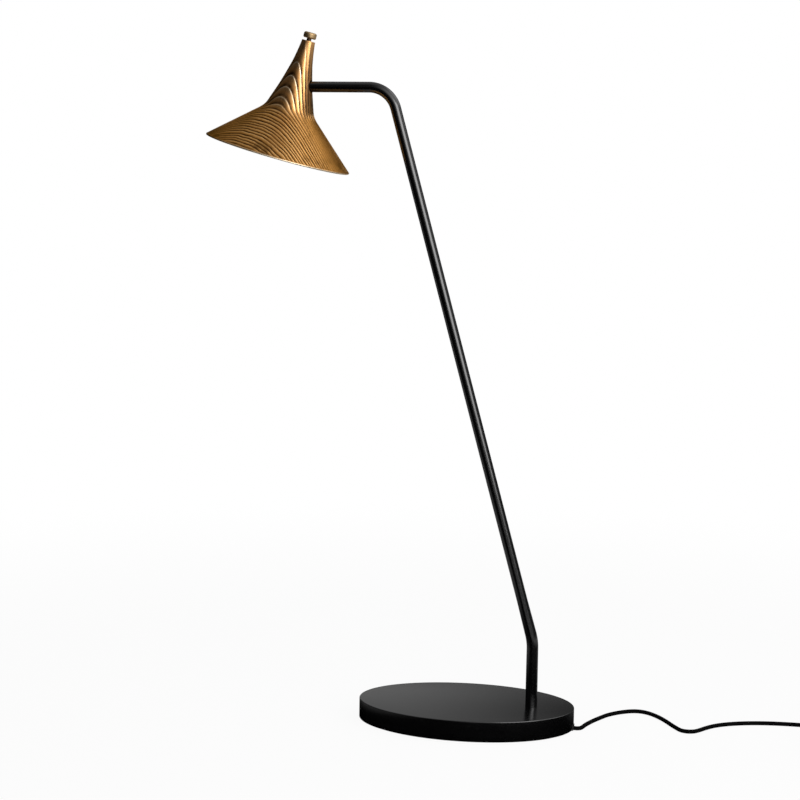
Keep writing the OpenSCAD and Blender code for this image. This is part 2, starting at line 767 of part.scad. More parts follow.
module cord_inner() {
    color(black) tube_along(inner_route, cord_r, 8, [0, 0, 1]);
}

// Swivel
module arm_spindle() {
    sector = 360 - 2 * (swivel_stop + asin((stop_pin_d / 2 + fit_gap) / stop_pin_radius));
    color(steel)
        difference() {
            union() {
                on_arm(arm_tip) cylinder(r = bore_r - fit_gap, h = spindle_plug);
                on_arm(collar_back) cylinder(d = stem_d, h = collar_thick);
                on_arm(spindle_end) cylinder(r = journal_r, h = collar_back - spindle_end + collar_thick / 2);
                on_arm(collar_back)
                    rotate([0, 0, -sector / 2])
                        rotate_extrude(angle = sector)
                            square([stop_flange_d / 2, collar_thick]);
            }
            on_arm(spindle_end - over)
                cylinder(d = spindle_bore, h = arm_tip + spindle_plug - spindle_end + 2 * over);
        }
}
module swivel_bush() {
    color(white)
        difference() {
            union() {
                on_arm(web_back) cylinder(r = bush_r, h = web_thick + bush_flange_thick);
                on_arm(web_front) cylinder(d = bush_flange_d, h = bush_flange_thick);
            }
            on_arm(web_back - over)
                cylinder(r = journal_r + fit_gap, h = web_thick + bush_flange_thick + 2 * over);
        }
}
module friction_washer() {
    color(black) on_arm(swivel_nut_front) pipe(friction_d / 2, journal_r + fit_gap, friction_thick);
}
module swivel_nut() {
    color(steel)
        on_arm(swivel_nut_front - swivel_nut_thick)
            hex_nut(swivel_nut_flats, journal_r + fit_gap, swivel_nut_thick);
}
module stop_pin() {
    color(steel)
        on_arm(web_front - stop_pin_depth)
            translate([-stop_pin_radius, 0, 0])
                cylinder(d = stop_pin_d, h = stop_pin_depth + arm_tip - web_front - free_gap);
}

// Shade
module horn(profile, top) {
    rotate_extrude($fn = 180)
        polygon(concat([[0, profile[0][1]]], profile, [[0, top]]));
}
module horn_core() {
    horn([for (q = outer_profile) [q[0] - brim_wall / 2, q[1]]], shade_height);
}
module shade() {
    color(brass)
        difference() {
            union() {
                on_head()
                    difference() {
                        horn(outer_profile, shade_height);
                        horn(inner_profile, hollow_height);
                        cylinder(d = tip_bore, h = shade_height + over);
                    }
                intersection() {
                    on_head() horn_core();
                    on_arm(web_back)
                        translate([-web_height / 2, -throat_r, 0])
                            cube([web_height, throat_d, web_thick]);
                }
                on_head()
                    intersection() {
                        horn_core();
                        at_posts(carrier_level + carrier_thick)
                            cylinder(d = post_d, h = post_top - carrier_level - carrier_thick);
                    }
            }
            on_arm(web_front) cylinder(d = stem_d + 2 * arm_hole_gap, h = throat_r);
            on_arm(web_back - over) cylinder(r = bush_r + fit_gap, h = web_thick + 2 * over);
            on_arm(web_front - stop_pin_depth)
                translate([-stop_pin_radius, 0, 0])
                    cylinder(d = stop_pin_d + 2 * fit_gap, h = stop_pin_depth + over);
            on_head()
                at_posts(carrier_level)
                    cylinder(d = carrier_screw_d + 2 * fit_gap, h = carrier_screw_length + free_gap);
        }
}

// Light
module at_posts(level) {
    for (a = post_angles)
        rotate([0, 0, a])
            translate([post_circle / 2, 0, level])
                children();
}
module led_carrier() {
    color(steel)
        on_head()
            difference() {
                union() {
                    translate([0, 0, carrier_level]) cylinder(d = carrier_d, h = carrier_thick);
                    translate([0, 0, lip_bottom])
                        cylinder(d = carrier_d + 2 * carrier_lip, h = carrier_lip_thick);
                }
                at_posts(carrier_level - over)
                    cylinder(d = carrier_screw_d + 2 * fit_gap, h = carrier_thick + 2 * over);
                rotate([0, 0, lead_angle])
                    translate([lead_radius, 0, carrier_level - over])
                        cylinder(d = lead_d + 2 * free_gap, h = carrier_thick + 2 * over);
            }
}
module carrier_screws() {
    color(steel)
        on_head()
            at_posts(carrier_level)
                pan_screw(carrier_screw_d, carrier_screw_length, carrier_head_d, carrier_head_thick);
}
module led_board() {
    color(white) on_head() translate([0, 0, board_bottom]) cylinder(d = board_d, h = board_thick);
}
module led_chip() {
    color(yellow)
        on_head() {
            translate([-chip_side / 2, -chip_side / 2, chip_bottom]) cube([chip_side, chip_side, chip_thick]);
            translate([0, 0, phosphor_bottom]) cylinder(d = phosphor_d, h = phosphor_thick);
        }
}
module reflector() {
    r_in = carrier_d / 2 + fit_gap;
    back = reflector_wall;
    mouth_r = diffuser_r + fit_gap - diffuser_ledge;
    color(silver)
        on_head()
            rotate_extrude()
                polygon([
                    [reflector_throat / 2, reflector_top], [mouth_r, reflector_mouth],
                    [diffuser_r + fit_gap, reflector_mouth], [diffuser_r + fit_gap, diffuser_bottom],
                    [reflector_r, diffuser_bottom], [reflector_r, lip_bottom], [r_in, lip_bottom],
                    [r_in, reflector_mouth + back], [mouth_r, reflector_mouth + back],
                    [reflector_throat / 2 + back, reflector_top]
                ]);
}
module diffuser() {
    color(white) on_head() translate([0, 0, diffuser_bottom]) cylinder(r = diffuser_r, h = diffuser_thick);
}
module lens_ring() {
    color(black)
        on_head()
            translate([0, 0, ring_bottom])
                difference() {
                    cylinder(r = ring_r, h = ring_depth);
                    translate([0, 0, -over]) cylinder(r = diffuser_r - diffuser_ledge, h = ring_depth);
                    translate([0, 0, ring_face]) cylinder(r = reflector_r + fit_gap, h = ring_depth);
                }
}
module head_leads() {
    down = [
        [-7, 0.7, 48.2], [-8.2, 0.7, 47.5], [-9, 0.7, 46], [-9.2, 0.6, 43], [-8.8, 0.4, 38], [-8, 0, 33],
        [-lead_radius, 0, 29], [-lead_radius, 0, carrier_level]
    ];
    floor_bottom = can_bottom - can_floor;
    up = [
        [-7, -0.7, 48.4], [-8, -0.7, 48.9], [-8.4, -0.7, 50.2], [-8.3, -0.7, 52.6], [-7.2, -0.7, 54.6],
        [-5.4, -0.7, 56], [-4.1, -0.7, 56.9], [-3.6, -0.7, floor_bottom - lead_d / 2],
        [-3.6, -0.7, floor_bottom]
    ];
    color(copper)
        on_head() {
            tube_along(down, lead_d / 2, 8, [0, 1, 0]);
            tube_along(up, lead_d / 2, 8, [0, 1, 0]);
        }
}

// Dimmer
module dimmer_can() {
    color(steel)
        on_head()
            difference() {
                translate([0, 0, can_bottom]) cylinder(r = can_r, h = can_height);
                translate([0, 0, can_bottom - over])
                    cylinder(r = can_r - can_wall, h = can_roof - can_bottom + over);
                translate([0, 0, can_bottom]) cylinder(r = shaft_r + fit_gap, h = can_height + over);
            }
}
module dimmer_floor() {
    color(green) on_head() translate([0, 0, can_bottom - can_floor]) cylinder(r = can_r, h = can_floor);
}
module dimmer_sleeve() {
    color(brass)
        on_head()
            translate([0, 0, hollow_height])
                pipe(tip_bore / 2 - fit_gap, shaft_r + fit_gap, sleeve_length);
}
module guide_bush() {
    color(black)
        on_head()
            translate([0, 0, sleeve_top])
                pipe(tip_bore / 2 - fit_gap, shaft_r + fit_gap, shade_height - sleeve_top);
}
module press_plunger() {
    color(white) on_head() translate([0, 0, plunger_bottom]) cylinder(d = plunger_d, h = plunger_thick);
}
module return_spring() {
    bottom = can_bottom + spring_wire / 2 + fit_gap;
    top = plunger_bottom - spring_wire / 2 - fit_gap;
    count = spring_turns * 12;
    wire = [for (i = [0:count])
        [spring_d / 2 * cos(30 * i), spring_d / 2 * sin(30 * i), mix(bottom, top, i / count)]];
    color(steel) on_head() tube_along(wire, spring_wire / 2, 6, [0, 0, 1]);
}
module knob_shaft() {
    color(black)
        on_head() {
            translate([0, 0, shaft_bottom])
                cylinder(r = shaft_r, h = knob_bottom + knob_socket - shaft_bottom);
            translate([0, 0, keeper_top - keeper_thick]) cylinder(d = keeper_d, h = keeper_thick);
        }
}
module knob() {
    r = knob_d / 2;
    under = knob_under_round;
    color(brass)
        on_head()
            translate([0, 0, knob_bottom])
                difference() {
                    rotate_extrude()
                        polygon(concat(
                            [[0, 0]],
                            arc([r - under, under], under, -90, 0, 4),
                            arc([r - knob_round, knob_height - knob_round], knob_round, 0, 90, 6),
                            [[0, knob_height]]));
                    translate([0, 0, -over]) cylinder(r = shaft_r + fit_gap, h = knob_socket + over);
                }
}

// Cord
// The coil winds in and out, and climbs a layer in the half turn where it reverses
function coil_fold(t) =
    let (q = t / layer_turns, k = floor(q))
    k % 2 == 0 ? q - k : 1 - q + k;
function coil_climb(t, k) = k == coil_layers ? 0
    : max(0, min(1, 2 * (t - k * layer_turns) + 0.5)) + coil_climb(t, k + 1);
function coil_point(t) =
    let (r = coil_radius - coil_pitch * layer_turns * coil_fold(t), a = 360 * t - 90)
    [coil_centre[0] + r * cos(a), coil_centre[1] + r * sin(a), coil_bottom + coil_pitch * coil_climb(t, 1)];
coil_steps = coil_turns * rings_per_loop;
coil_start = [coil_centre[0] - cord_d, coil_y, coil_bottom];
coil_end = [coil_centre[0] + cord_d, coil_y, coil_top];
module cord_coil() {
    turns = [for (i = [0:coil_steps]) coil_point(i / rings_per_loop)];
    apart = min([for (i = [0:coil_steps - rings_per_loop], j = [i + rings_per_loop - 6:coil_steps])
        norm(turns[i] - turns[j])]);
    run = [for (i = [1:coil_steps]) norm(turns[i] - turns[i - 1])];
    echo(str("Least gap between the coil's turns: ", apart - cord_d, " mm"));
    echo(str("Cord in the coil: ", run * [for (q = run) 1], " mm"));
    color(black) tube_along(concat([coil_start], turns, [coil_end]), cord_r, 6, [0, 0, 1]);
}
module cord_run() {
    points = concat([[exit_x, 0, exit_height]], cord_route, [coil_start]);
    color(black) tube_along(points, cord_r, 8, [0, 0, 1]);
}
module cord_tail() {
    boot_in = [driver_place[0], driver_place[1] - driver_wall - boot_flange, driver_axis];
    boot_out = [driver_place[0], driver_place[1] + boot_length, driver_axis];
    color(black) tube_along(concat([coil_end], tail_route, [boot_out, boot_in]), cord_r, 8, [0, 0, 1]);
}
module cord_tie() {
    near = sqrt(pow(coil_inner - cord_r, 2) - pow(tie_width / 2, 2)) - free_gap;
    far = coil_radius + cord_r + free_gap;
    room = coil_top + cord_r + free_gap - tie_thick;
    color(rubber)
        translate([coil_centre[0] + tie_width / 2, coil_centre[1] + (near + far) / 2, 0])
            rotate([90, 0, -90])
                linear_extrude(tie_width)
                    difference() {
                        rounded(far - near + 2 * tie_thick, room + 2 * tie_thick, 2 * tie_thick);
                        translate([0, tie_thick]) rounded(far - near, room, tie_thick);
                    }
}

// Plug-in driver
module rounded(w, h, r) {
    for (x = [r - w / 2, w / 2 - r], y = [r, h - r])
        translate([x, y]) circle(r);
    translate([-w / 2, r]) square([w, h - 2 * r]);
    translate([r - w / 2, 0]) square([w - 2 * r, h]);
}
// Along the driver: local z runs from the boot's end toward the pins, local y is up
module on_driver(at) {
    translate([driver_place[0], driver_place[1] - at, 0])
        rotate([90, 0, 0])
            children();
}
module driver_boot() {
    color(rubber)
        difference() {
            on_driver(-boot_length)
                translate([0, driver_axis, 0]) {
                    cylinder(d1 = boot_tip_d, d2 = boot_d, h = boot_length);
                    translate([0, 0, boot_length]) cylinder(d = boot_neck_d, h = driver_wall);
                    translate([0, 0, boot_length + driver_wall]) cylinder(d = boot_d, h = boot_flange);
                }
            on_driver(-boot_length - over)
                translate([0, driver_axis, 0])
                    cylinder(r = cord_r + fit_gap, h = boot_length + driver_wall + boot_flange + 2 * over);
        }
}
module driver_case() {
    wall = driver_wall;
    inside = [driver_width - 2 * wall, driver_height - 2 * wall];
    color(black) {
        difference() {
            on_driver(0) linear_extrude(driver_length) rounded(driver_width, driver_height, driver_round);
            on_driver(wall)
                linear_extrude(driver_length)
                    translate([0, wall]) rounded(inside[0], inside[1], driver_round - wall / 2);
            on_driver(-over)
                translate([0, driver_axis, 0])
                    cylinder(d = boot_neck_d + 2 * fit_gap, h = wall + 2 * over);
        }
        for (side = [-1, 1])
            on_driver(wall / 2)
                translate([side * (inside[0] / 2 - rail_width) - rail_width / 2, wall / 2, 0])
                    cube([rail_width, board_seat - wall / 2, driver_board_length + 2 * wall]);
    }
}
module driver_plate() {
    lip = driver_wall + fit_gap;
    lip_size = [driver_width - 2 * lip, driver_height - 2 * lip];
    color(black)
        difference() {
            union() {
                on_driver(driver_length)
                    linear_extrude(plate_thick) rounded(driver_width, driver_height, driver_round);
                on_driver(driver_length - plate_lip)
                    linear_extrude(plate_lip + plate_thick / 2)
                        translate([0, lip])
                            rounded(lip_size[0], lip_size[1], driver_round - driver_wall / 2);
            }
            at_pins()
                translate([0, 0, -over])
                    cylinder(d = pin_root_d + 2 * fit_gap, h = plate_lip + plate_thick + 2 * over);
        }
}
module at_pins() {
    for (side = [-1, 1])
        on_driver(driver_length - plate_lip)
            translate([side * pin_spacing / 2, driver_axis, 0])
                children();
}
module plug_pins() {
    root = plate_lip + plate_thick + pin_root_length;
    color(steel)
        at_pins() {
            cylinder(d = pin_root_d, h = root);
            translate([0, 0, root]) cylinder(d = pin_d, h = pin_length - pin_root_length);
        }
}
module driver_board() {
    width = driver_width - 2 * driver_wall - 2 * free_gap;
    color(green)
        on_driver(driver_wall + boot_flange + free_gap)
            translate([-width / 2, board_seat, 0])
                cube([width, driver_board_thick, driver_board_length]);
}
module driver_core() {
    color(graphite)
        on_driver(driver_wall + boot_flange + driver_board_length / 2)
            translate([-core_side / 2, board_seat + driver_board_thick, -core_side / 2])
                cube([core_side, core_height, core_side]);
}

base_body();
base_pad();
base_cover();
cover_screws();
stem_tube();
foot_spigot();
stem_washer();
stem_nut();
stem_lead();
terminal_block();
terminal_screws();
cord_clamp();
clamp_screws();
cord_grommet();
cord_inner();
arm_spindle();
swivel_bush();
friction_washer();
swivel_nut();
stop_pin();
shade();
led_carrier();
carrier_screws();
led_board();
led_chip();
reflector();
diffuser();
lens_ring();
head_leads();
dimmer_can();
dimmer_floor();
dimmer_sleeve();
guide_bush();
press_plunger();
return_spring();
knob_shaft();
knob();
cord_run();
cord_coil();
cord_tail();
cord_tie();
driver_boot();
driver_case();
driver_plate();
driver_board();
driver_core();
plug_pins();
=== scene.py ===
"""Table lamp: finishes, carved brass shade, smooth tubes and cord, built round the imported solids."""

import json
import logging
import math
from dataclasses import dataclass
from enum import Enum
from typing import Any, Callable, Sequence

import bmesh
import bpy
from mathutils import Matrix, Vector

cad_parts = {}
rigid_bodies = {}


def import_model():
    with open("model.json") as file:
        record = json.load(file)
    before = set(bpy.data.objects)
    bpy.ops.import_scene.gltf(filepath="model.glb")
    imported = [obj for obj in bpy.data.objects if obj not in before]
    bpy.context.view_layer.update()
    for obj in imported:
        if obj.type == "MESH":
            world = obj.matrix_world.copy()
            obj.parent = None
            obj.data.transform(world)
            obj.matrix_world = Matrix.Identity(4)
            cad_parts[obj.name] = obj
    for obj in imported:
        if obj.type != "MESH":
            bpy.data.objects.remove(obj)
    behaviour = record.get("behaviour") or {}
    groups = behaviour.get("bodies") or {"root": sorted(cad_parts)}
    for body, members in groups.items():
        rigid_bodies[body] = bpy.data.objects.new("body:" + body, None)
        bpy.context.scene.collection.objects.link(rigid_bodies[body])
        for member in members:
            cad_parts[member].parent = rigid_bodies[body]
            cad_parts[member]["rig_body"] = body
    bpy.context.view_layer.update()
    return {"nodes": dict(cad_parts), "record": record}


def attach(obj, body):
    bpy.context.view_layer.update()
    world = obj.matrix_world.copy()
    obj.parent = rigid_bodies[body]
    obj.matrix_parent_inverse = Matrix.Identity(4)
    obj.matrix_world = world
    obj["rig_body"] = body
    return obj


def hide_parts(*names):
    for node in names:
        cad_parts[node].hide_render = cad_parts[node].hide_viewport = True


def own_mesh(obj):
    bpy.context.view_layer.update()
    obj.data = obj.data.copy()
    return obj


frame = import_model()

MM = 0.001
PATH_STEPS = 4
LOG = logging.getLogger("table_lamp")

Colour = tuple[float, float, float]
Point = tuple[float, float, float]
Band = tuple[float, float]
Profile = list[tuple[float, float]]

X_AXIS: Point = (1.0, 0.0, 0.0)
Y_AXIS: Point = (0.0, 1.0, 0.0)
Z_AXIS: Point = (0.0, 0.0, 1.0)


def rgba(colour: Colour) -> tuple[float, float, float, float]:
    """Returns a colour with full opacity."""
    return (*colour, 1.0)


class Signal:
    """An output socket that takes part in Python arithmetic.

    Args:
        graph: The graph that holds the socket's node.
        socket: The output socket, or None on a node that has no outputs.
    """

    def __init__(self, graph: "Graph", socket: bpy.types.NodeSocket | None) -> None:
        """Keeps the graph and the socket."""
        self.graph = graph
        self.socket = socket

    def _math(self, operation: str, first: Any, second: Any = 0.0) -> "Signal":
        """Adds a Math node for one operation on two values."""
        return self.graph.add("ShaderNodeMath", {"operation": operation}, {0: first, 1: second})

    def __add__(self, other: Any) -> "Signal":
        """Returns self + other."""
        return self._math("ADD", self, other)

    def __radd__(self, other: Any) -> "Signal":
        """Returns other + self."""
        return self._math("ADD", other, self)

    def __sub__(self, other: Any) -> "Signal":
        """Returns self - other."""
        return self._math("SUBTRACT", self, other)

    def __rsub__(self, other: Any) -> "Signal":
        """Returns other - self."""
        return self._math("SUBTRACT", other, self)

    def __mul__(self, other: Any) -> "Signal":
        """Returns self * other."""
        return self._math("MULTIPLY", self, other)

    def __rmul__(self, other: Any) -> "Signal":
        """Returns other * self."""
        return self._math("MULTIPLY", other, self)

    def __truediv__(self, other: Any) -> "Signal":
        """Returns self / other."""
        return self._math("DIVIDE", self, other)

    def __abs__(self) -> "Signal":
        """Returns the size of self without its sign."""
        return self._math("ABSOLUTE", self)

    def fraction(self) -> "Signal":
        """Returns what is left of self above a whole number."""
        return self._math("FRACT", self)

    def at_most(self, other: Any) -> "Signal":
        """Returns the smaller of self and other."""
        return self._math("MINIMUM", self, other)

    def at_least(self, other: Any) -> "Signal":
        """Returns the larger of self and other."""
        return self._math("MAXIMUM", self, other)

    def ease(self, low: float, high: float) -> "Signal":
        """Returns a smooth rise from 0 at low to 1 at high.

        Args:
            low: The value of self where the rise starts.
            high: The value of self where it ends. It may be below low.

        Returns:
            The eased signal.
        """
        settings = {"interpolation_type": "SMOOTHSTEP"}
        if high < low:
            return 1 - self.ease(high, low)
        return self.graph.add("ShaderNodeMapRange", settings, {"Value": self, 1: low, 2: high})


class Graph:
    """A node tree under construction.

    Args:
        tree: The node tree that nodes are added to.
    """

    def __init__(self, tree: bpy.types.NodeTree) -> None:
        """Keeps the tree."""
        self.tree = tree

    def add(
        self,
        kind: str,
        settings: dict[str, Any] | None = None,
        inputs: dict[str | int, Any] | None = None,
        output: str | int = 0,
    ) -> Signal:
        """Adds one node.

        Args:
            kind: The node's type name.
            settings: The node's own settings, and a colour ramp's stops under "stops".
            inputs: A value or a signal for each input socket, by name or number.
            output: The output socket to return, by name or number.

        Returns:
            The chosen output, which is empty on a node without outputs.
        """
        node = self.tree.nodes.new(kind)
        for name, value in (settings or {}).items():
            if name == "stops":
                self._set_stops(node.color_ramp, value)
            else:
                setattr(node, name, value)
        for key, value in (inputs or {}).items():
            if isinstance(value, Signal):
                self.tree.links.new(value.socket, node.inputs[key])
            else:
                node.inputs[key].default_value = value
        return Signal(self, node.outputs[output] if node.outputs else None)

    @staticmethod
    def _set_stops(ramp: bpy.types.ColorRamp, stops: Sequence[tuple[float, Colour]]) -> None:
        """Gives a colour ramp its stops, in rising order."""
        while len(ramp.elements) < len(stops):
            ramp.elements.new(1.0)
        for element, (place, colour) in zip(ramp.elements, stops):
            element.position = place
            element.color = rgba(colour)

    def noise(self, vector: Signal, scale: Any, detail: float = 3.0, roughness: float = 0.5) -> Signal:
        """Adds a noise texture.

        Args:
            vector: Where the noise is read.
            scale: Cells per unit of the vector.
            detail: Octaves of the noise.
            roughness: How much the finer octaves count.

        Returns:
            The noise's value, around 0.5.
        """
        inputs = {"Vector": vector, "Scale": scale, "Detail": detail, "Roughness": roughness}
        return self.add("ShaderNodeTexNoise", inputs=inputs)

    def blend(self, share: Any, first: Any, second: Any) -> Signal:
        """Mixes two colours.

        Args:
            share: How much of the second colour shows.
            first: The first colour, as a signal or RGBA.
            second: The second colour, as a signal or RGBA.

        Returns:
            The mixed colour.
        """
        return self.add("ShaderNodeMix", {"data_type": "RGBA"}, {0: share, 6: first, 7: second}, output=2)

    def attribute(self, name: str, output: str) -> Signal:
        """Returns one output of a named attribute of the mesh."""
        return self.add("ShaderNodeAttribute", {"attribute_name": name}, output=output)

    def stretch(self, vector: Signal, by: Sequence[float]) -> Signal:
        """Returns a vector with each axis multiplied by a number."""
        return self.add("ShaderNodeVectorMath", {"operation": "MULTIPLY"}, {0: vector, 1: tuple(by)})

    def along(self, vector: Signal, direction: Any) -> Signal:
        """Returns how far a vector reaches along a direction."""
        settings = {"operation": "DOT_PRODUCT"}
        return self.add("ShaderNodeVectorMath", settings, {0: vector, 1: direction}, "Value")

    def axes(self, vector: Signal) -> tuple[Signal, ...]:
        """Returns a vector's parts along X, Y and Z."""
        return tuple(self.along(vector, axis) for axis in (X_AXIS, Y_AXIS, Z_AXIS))

    def bump(self, height: Signal, depth: float, strength: float) -> Signal:
        """Adds a Bump node.

        Args:
            height: The height, from 0 to 1.
            depth: The real depth of the relief, in metres.
            strength: How strongly it shows.

        Returns:
            The bumped normal.
        """
        inputs = {"Height": height, "Distance": depth, "Strength": strength}
        return self.add("ShaderNodeBump", inputs=inputs)

    def surface(self, inputs: dict[str | int, Any], kind: str = "ShaderNodeBsdfPrincipled") -> None:
        """Ends a material in one shader with the given sockets."""
        shader = self.add(kind, inputs=inputs)
        self.add("ShaderNodeOutputMaterial", inputs={"Surface": shader})


def new_material(name: str) -> tuple[bpy.types.Material, Graph]:
    """Makes an empty node material.

    Args:
        name: The material's name.

    Returns:
        The material and its empty graph.
    """
    material = bpy.data.materials.new(name)
    material.use_nodes = True
    material.node_tree.nodes.clear()
    return material, Graph(material.node_tree)


class Texture(Enum):
    """How the fine detail of a plain finish runs, as the stretch of its noise along X, Y and Z."""

    SPECKLE = (1.0, 1.0, 1.0)
    UPRIGHT = (1.0, 1.0, 0.06)


@dataclass(frozen=True)
class PlainFinish:
    """A finish of one colour with fine grain, a slow change of tone and a rough or smooth skin."""

    name: str
    colour: Colour
    worn: Colour
    roughness: float
    spread: float = 0.12
    metallic: float = 0.0
    specular: float = 0.5
    coat: float = 0.0
    grain: float = 2500.0
    relief: float = 0.02 * MM
    strength: float = 0.25
    texture: Texture = Texture.SPECKLE
    cloud_ratio: float = 60.0
    cloud_band: Band = (0.35, 0.68)
    cloud_share: float = 0.75

    def material(self) -> bpy.types.Material:
        """Returns the finish as a new material."""
        material, graph = new_material(self.name)
        place = graph.add("ShaderNodeTexCoord", output="Object")
        runs = graph.stretch(place, self.texture.value)
        fine = graph.noise(runs, self.grain, detail=4.0, roughness=0.6)
        broad = graph.noise(place, self.grain / self.cloud_ratio)
        cloud = broad.ease(*self.cloud_band) * self.cloud_share
        tone = (cloud + fine * (1 - self.cloud_share)).at_most(1.0)
        graph.surface({
            "Base Color": graph.blend(tone, rgba(self.colour), rgba(self.worn)),
            "Roughness": self.roughness + (fine - 0.5) * self.spread + (broad - 0.5) * self.spread,
            "Metallic": self.metallic,
            "Specular IOR Level": self.specular,
            "Coat Weight": self.coat,
            "Normal": graph.bump(fine, self.relief, self.strength),
        })
        return material


@dataclass(frozen=True)
class RingTones:
    """The colours across one carved ring, and where they lie from its crest to the next."""

    crest: Colour
    flank: Colour
    slope: Colour
    stops: tuple[float, ...]

    def ramp(self, graph: Graph, phase: Signal, valley: Colour) -> Signal:
        """Returns the colour at a phase of the ring, with a valley before the next crest."""
        colours = (self.crest, self.flank, self.slope, valley, valley, self.crest)
        return graph.add("ShaderNodeValToRGB", {"stops": tuple(zip(self.stops, colours))}, {"Fac": phase})


@dataclass(frozen=True)
class CastBrass:
    """Lacquered cast brass with a carved wood grain: bright crests, brown valleys, fine fibres.

    A band says where something starts and where it is full: heights over the rim, reaches along the
    head's X axis, phases of a ring or values of a noise. A share says how much of it then shows.
    """

    name: str = "cast_brass"
    # The neck's tones are the brim's brass painted brighter and paler, a painted highlight on the upper
    # part; the ring widths are the neck's own.
    neck: RingTones = RingTones(
        crest=(1.0, 0.84, 0.60), flank=(0.92, 0.55, 0.25), slope=(0.62, 0.29, 0.09),
        stops=(0.0, 0.05, 0.42, 0.74, 0.92, 0.98),
    )
    brim: RingTones = RingTones(
        crest=(1.0, 0.60, 0.25), flank=(0.74, 0.38, 0.12), slope=(0.42, 0.18, 0.036),
        stops=(0.0, 0.20, 0.42, 0.58, 0.82, 0.95),
    )
    valley: Colour = (0.03, 0.011, 0.003)
    patina: Colour = (0.20, 0.085, 0.016)
    soot_and_painted_shade: Colour = (0.05, 0.02, 0.005)
    edge_tint: Colour = (1.0, 0.70, 0.38)
    crest_roughness: float = 0.30
    valley_roughness: float = 0.46
    coat: float = 0.05
    coat_roughness: float = 0.2
    neck_band: Band = (28 * MM, 42 * MM)
    crest_rise: Band = (0.86, 0.98)
    crest_fall: Band = (0.16, 1.0)
    fibre_scale: float = 1100.0
    fibre_stretch: Point = (1.0, 0.16, 0.10)
    fibre_band: Band = (0.45, 0.75)
    fibre_share: float = 0.4
    fibre_roughness: float = 0.18
    cloud_scale: float = 70.0
    cloud_band: Band = (0.50, 0.80)
    cloud_share: float = 0.35
    patch_scale: float = 160.0
    patch_band: Band = (0.35, 0.62)
    patch_share: float = 0.28
    left_fade_band: Band = (-46 * MM, -14 * MM)
    left_fade_share: float = 0.5
    stain_band: Band = (10 * MM, 3 * MM)
    stain_cloud: Band = (0.52, 0.66)
    stain_share: float = 0.5
    # Painted shade on the head's far left end, turned from the light: where it starts and where it is full.
    tip_band: Band = (-30 * MM, -54 * MM)
    tip_share: float = 0.92
    ring_relief: float = 0.5
    fibre_relief: float = 0.12
    relief_depth: float = 0.2 * MM
    relief_strength: float = 0.3

    def material(self) -> bpy.types.Material:
        """Returns the finish as a new material. It reads the carving's own attributes."""
        material, graph = new_material(self.name)
        names = ("grain", "carved", "polish", "hole")
        grain, carved, polish, hole = (graph.attribute(name, "Fac") for name in names)
        place = graph.attribute("place", "Vector")
        reach, level = graph.along(place, X_AXIS), graph.along(place, Z_AXIS)
        phase = grain.fraction()
        neck = level.ease(*self.neck_band)
        threads = graph.stretch(place, self.fibre_stretch)
        fibre = graph.noise(threads, self.fibre_scale, detail=4.0, roughness=0.65)
        cloud = graph.noise(place, self.cloud_scale, detail=4.0, roughness=0.6)
        patch = graph.noise(place, self.patch_scale, roughness=0.6).ease(*self.patch_band)
        # The neck mask blends from the brim's tones to the neck's brighter, paler ones, a painted highlight
        # on the upper part.
        slope = graph.blend(neck, rgba(self.brim.slope), rgba(self.neck.slope))
        flank = graph.blend(neck, rgba(self.brim.flank), rgba(self.neck.flank))
        plain = graph.blend(fibre, slope, flank)
        rings = graph.blend(neck, *(t.ramp(graph, phase, self.valley) for t in (self.brim, self.neck)))
        # Rises from the head's far left end toward its right, and is full on the neck: the carving shows
        # less toward the left end, and the rim's painted highlight shows only toward the right.
        worn = reach.ease(*self.left_fade_band).at_least(neck)
        left_fade = 1 - self.left_fade_share + self.left_fade_share * worn
        shown = carved * left_fade * (1 - self.patch_share + self.patch_share * patch)
        fibred = fibre.ease(*self.fibre_band) * self.fibre_share
        clouded = cloud.ease(*self.cloud_band) * self.cloud_share
        stain = level.ease(*self.stain_band) * cloud.ease(*self.stain_cloud) * self.stain_share
        # Painted shade: darkens the head's far left end toward the soot colour.
        tip = reach.ease(*self.tip_band) * self.tip_share
        colour = graph.blend(shown, plain, rings)
        for share, over in (
            # Real stains near the rim and the painted shade of the far left end share the soot colour.
            (fibred, self.patina), (clouded, self.patina), (stain.at_least(tip), self.soot_and_painted_shade),
            # Then the rim's polished line, which is also a painted highlight, and painted shade round the
            # arm's hole.
            (polish * worn, self.neck.crest), (hole, self.valley),
        ):
            colour = graph.blend(share, colour, rgba(over))
        crest = phase.ease(*self.crest_rise) + (1 - phase).ease(*self.crest_fall)
        shine = (self.crest_roughness - self.valley_roughness) * crest.at_most(1.0)
        relief = crest * carved * self.ring_relief + fibre * self.fibre_relief
        graph.surface({
            "Base Color": colour,
            "Metallic": 1.0,
            "Roughness": self.valley_roughness + shine + (fibre - 0.5) * self.fibre_roughness,
            "Specular Tint": rgba(self.edge_tint),
            "Coat Weight": self.coat * neck,
            "Coat Roughness": self.coat_roughness,
            "Normal": graph.bump(relief, self.relief_depth, self.relief_strength),
        })
        return material


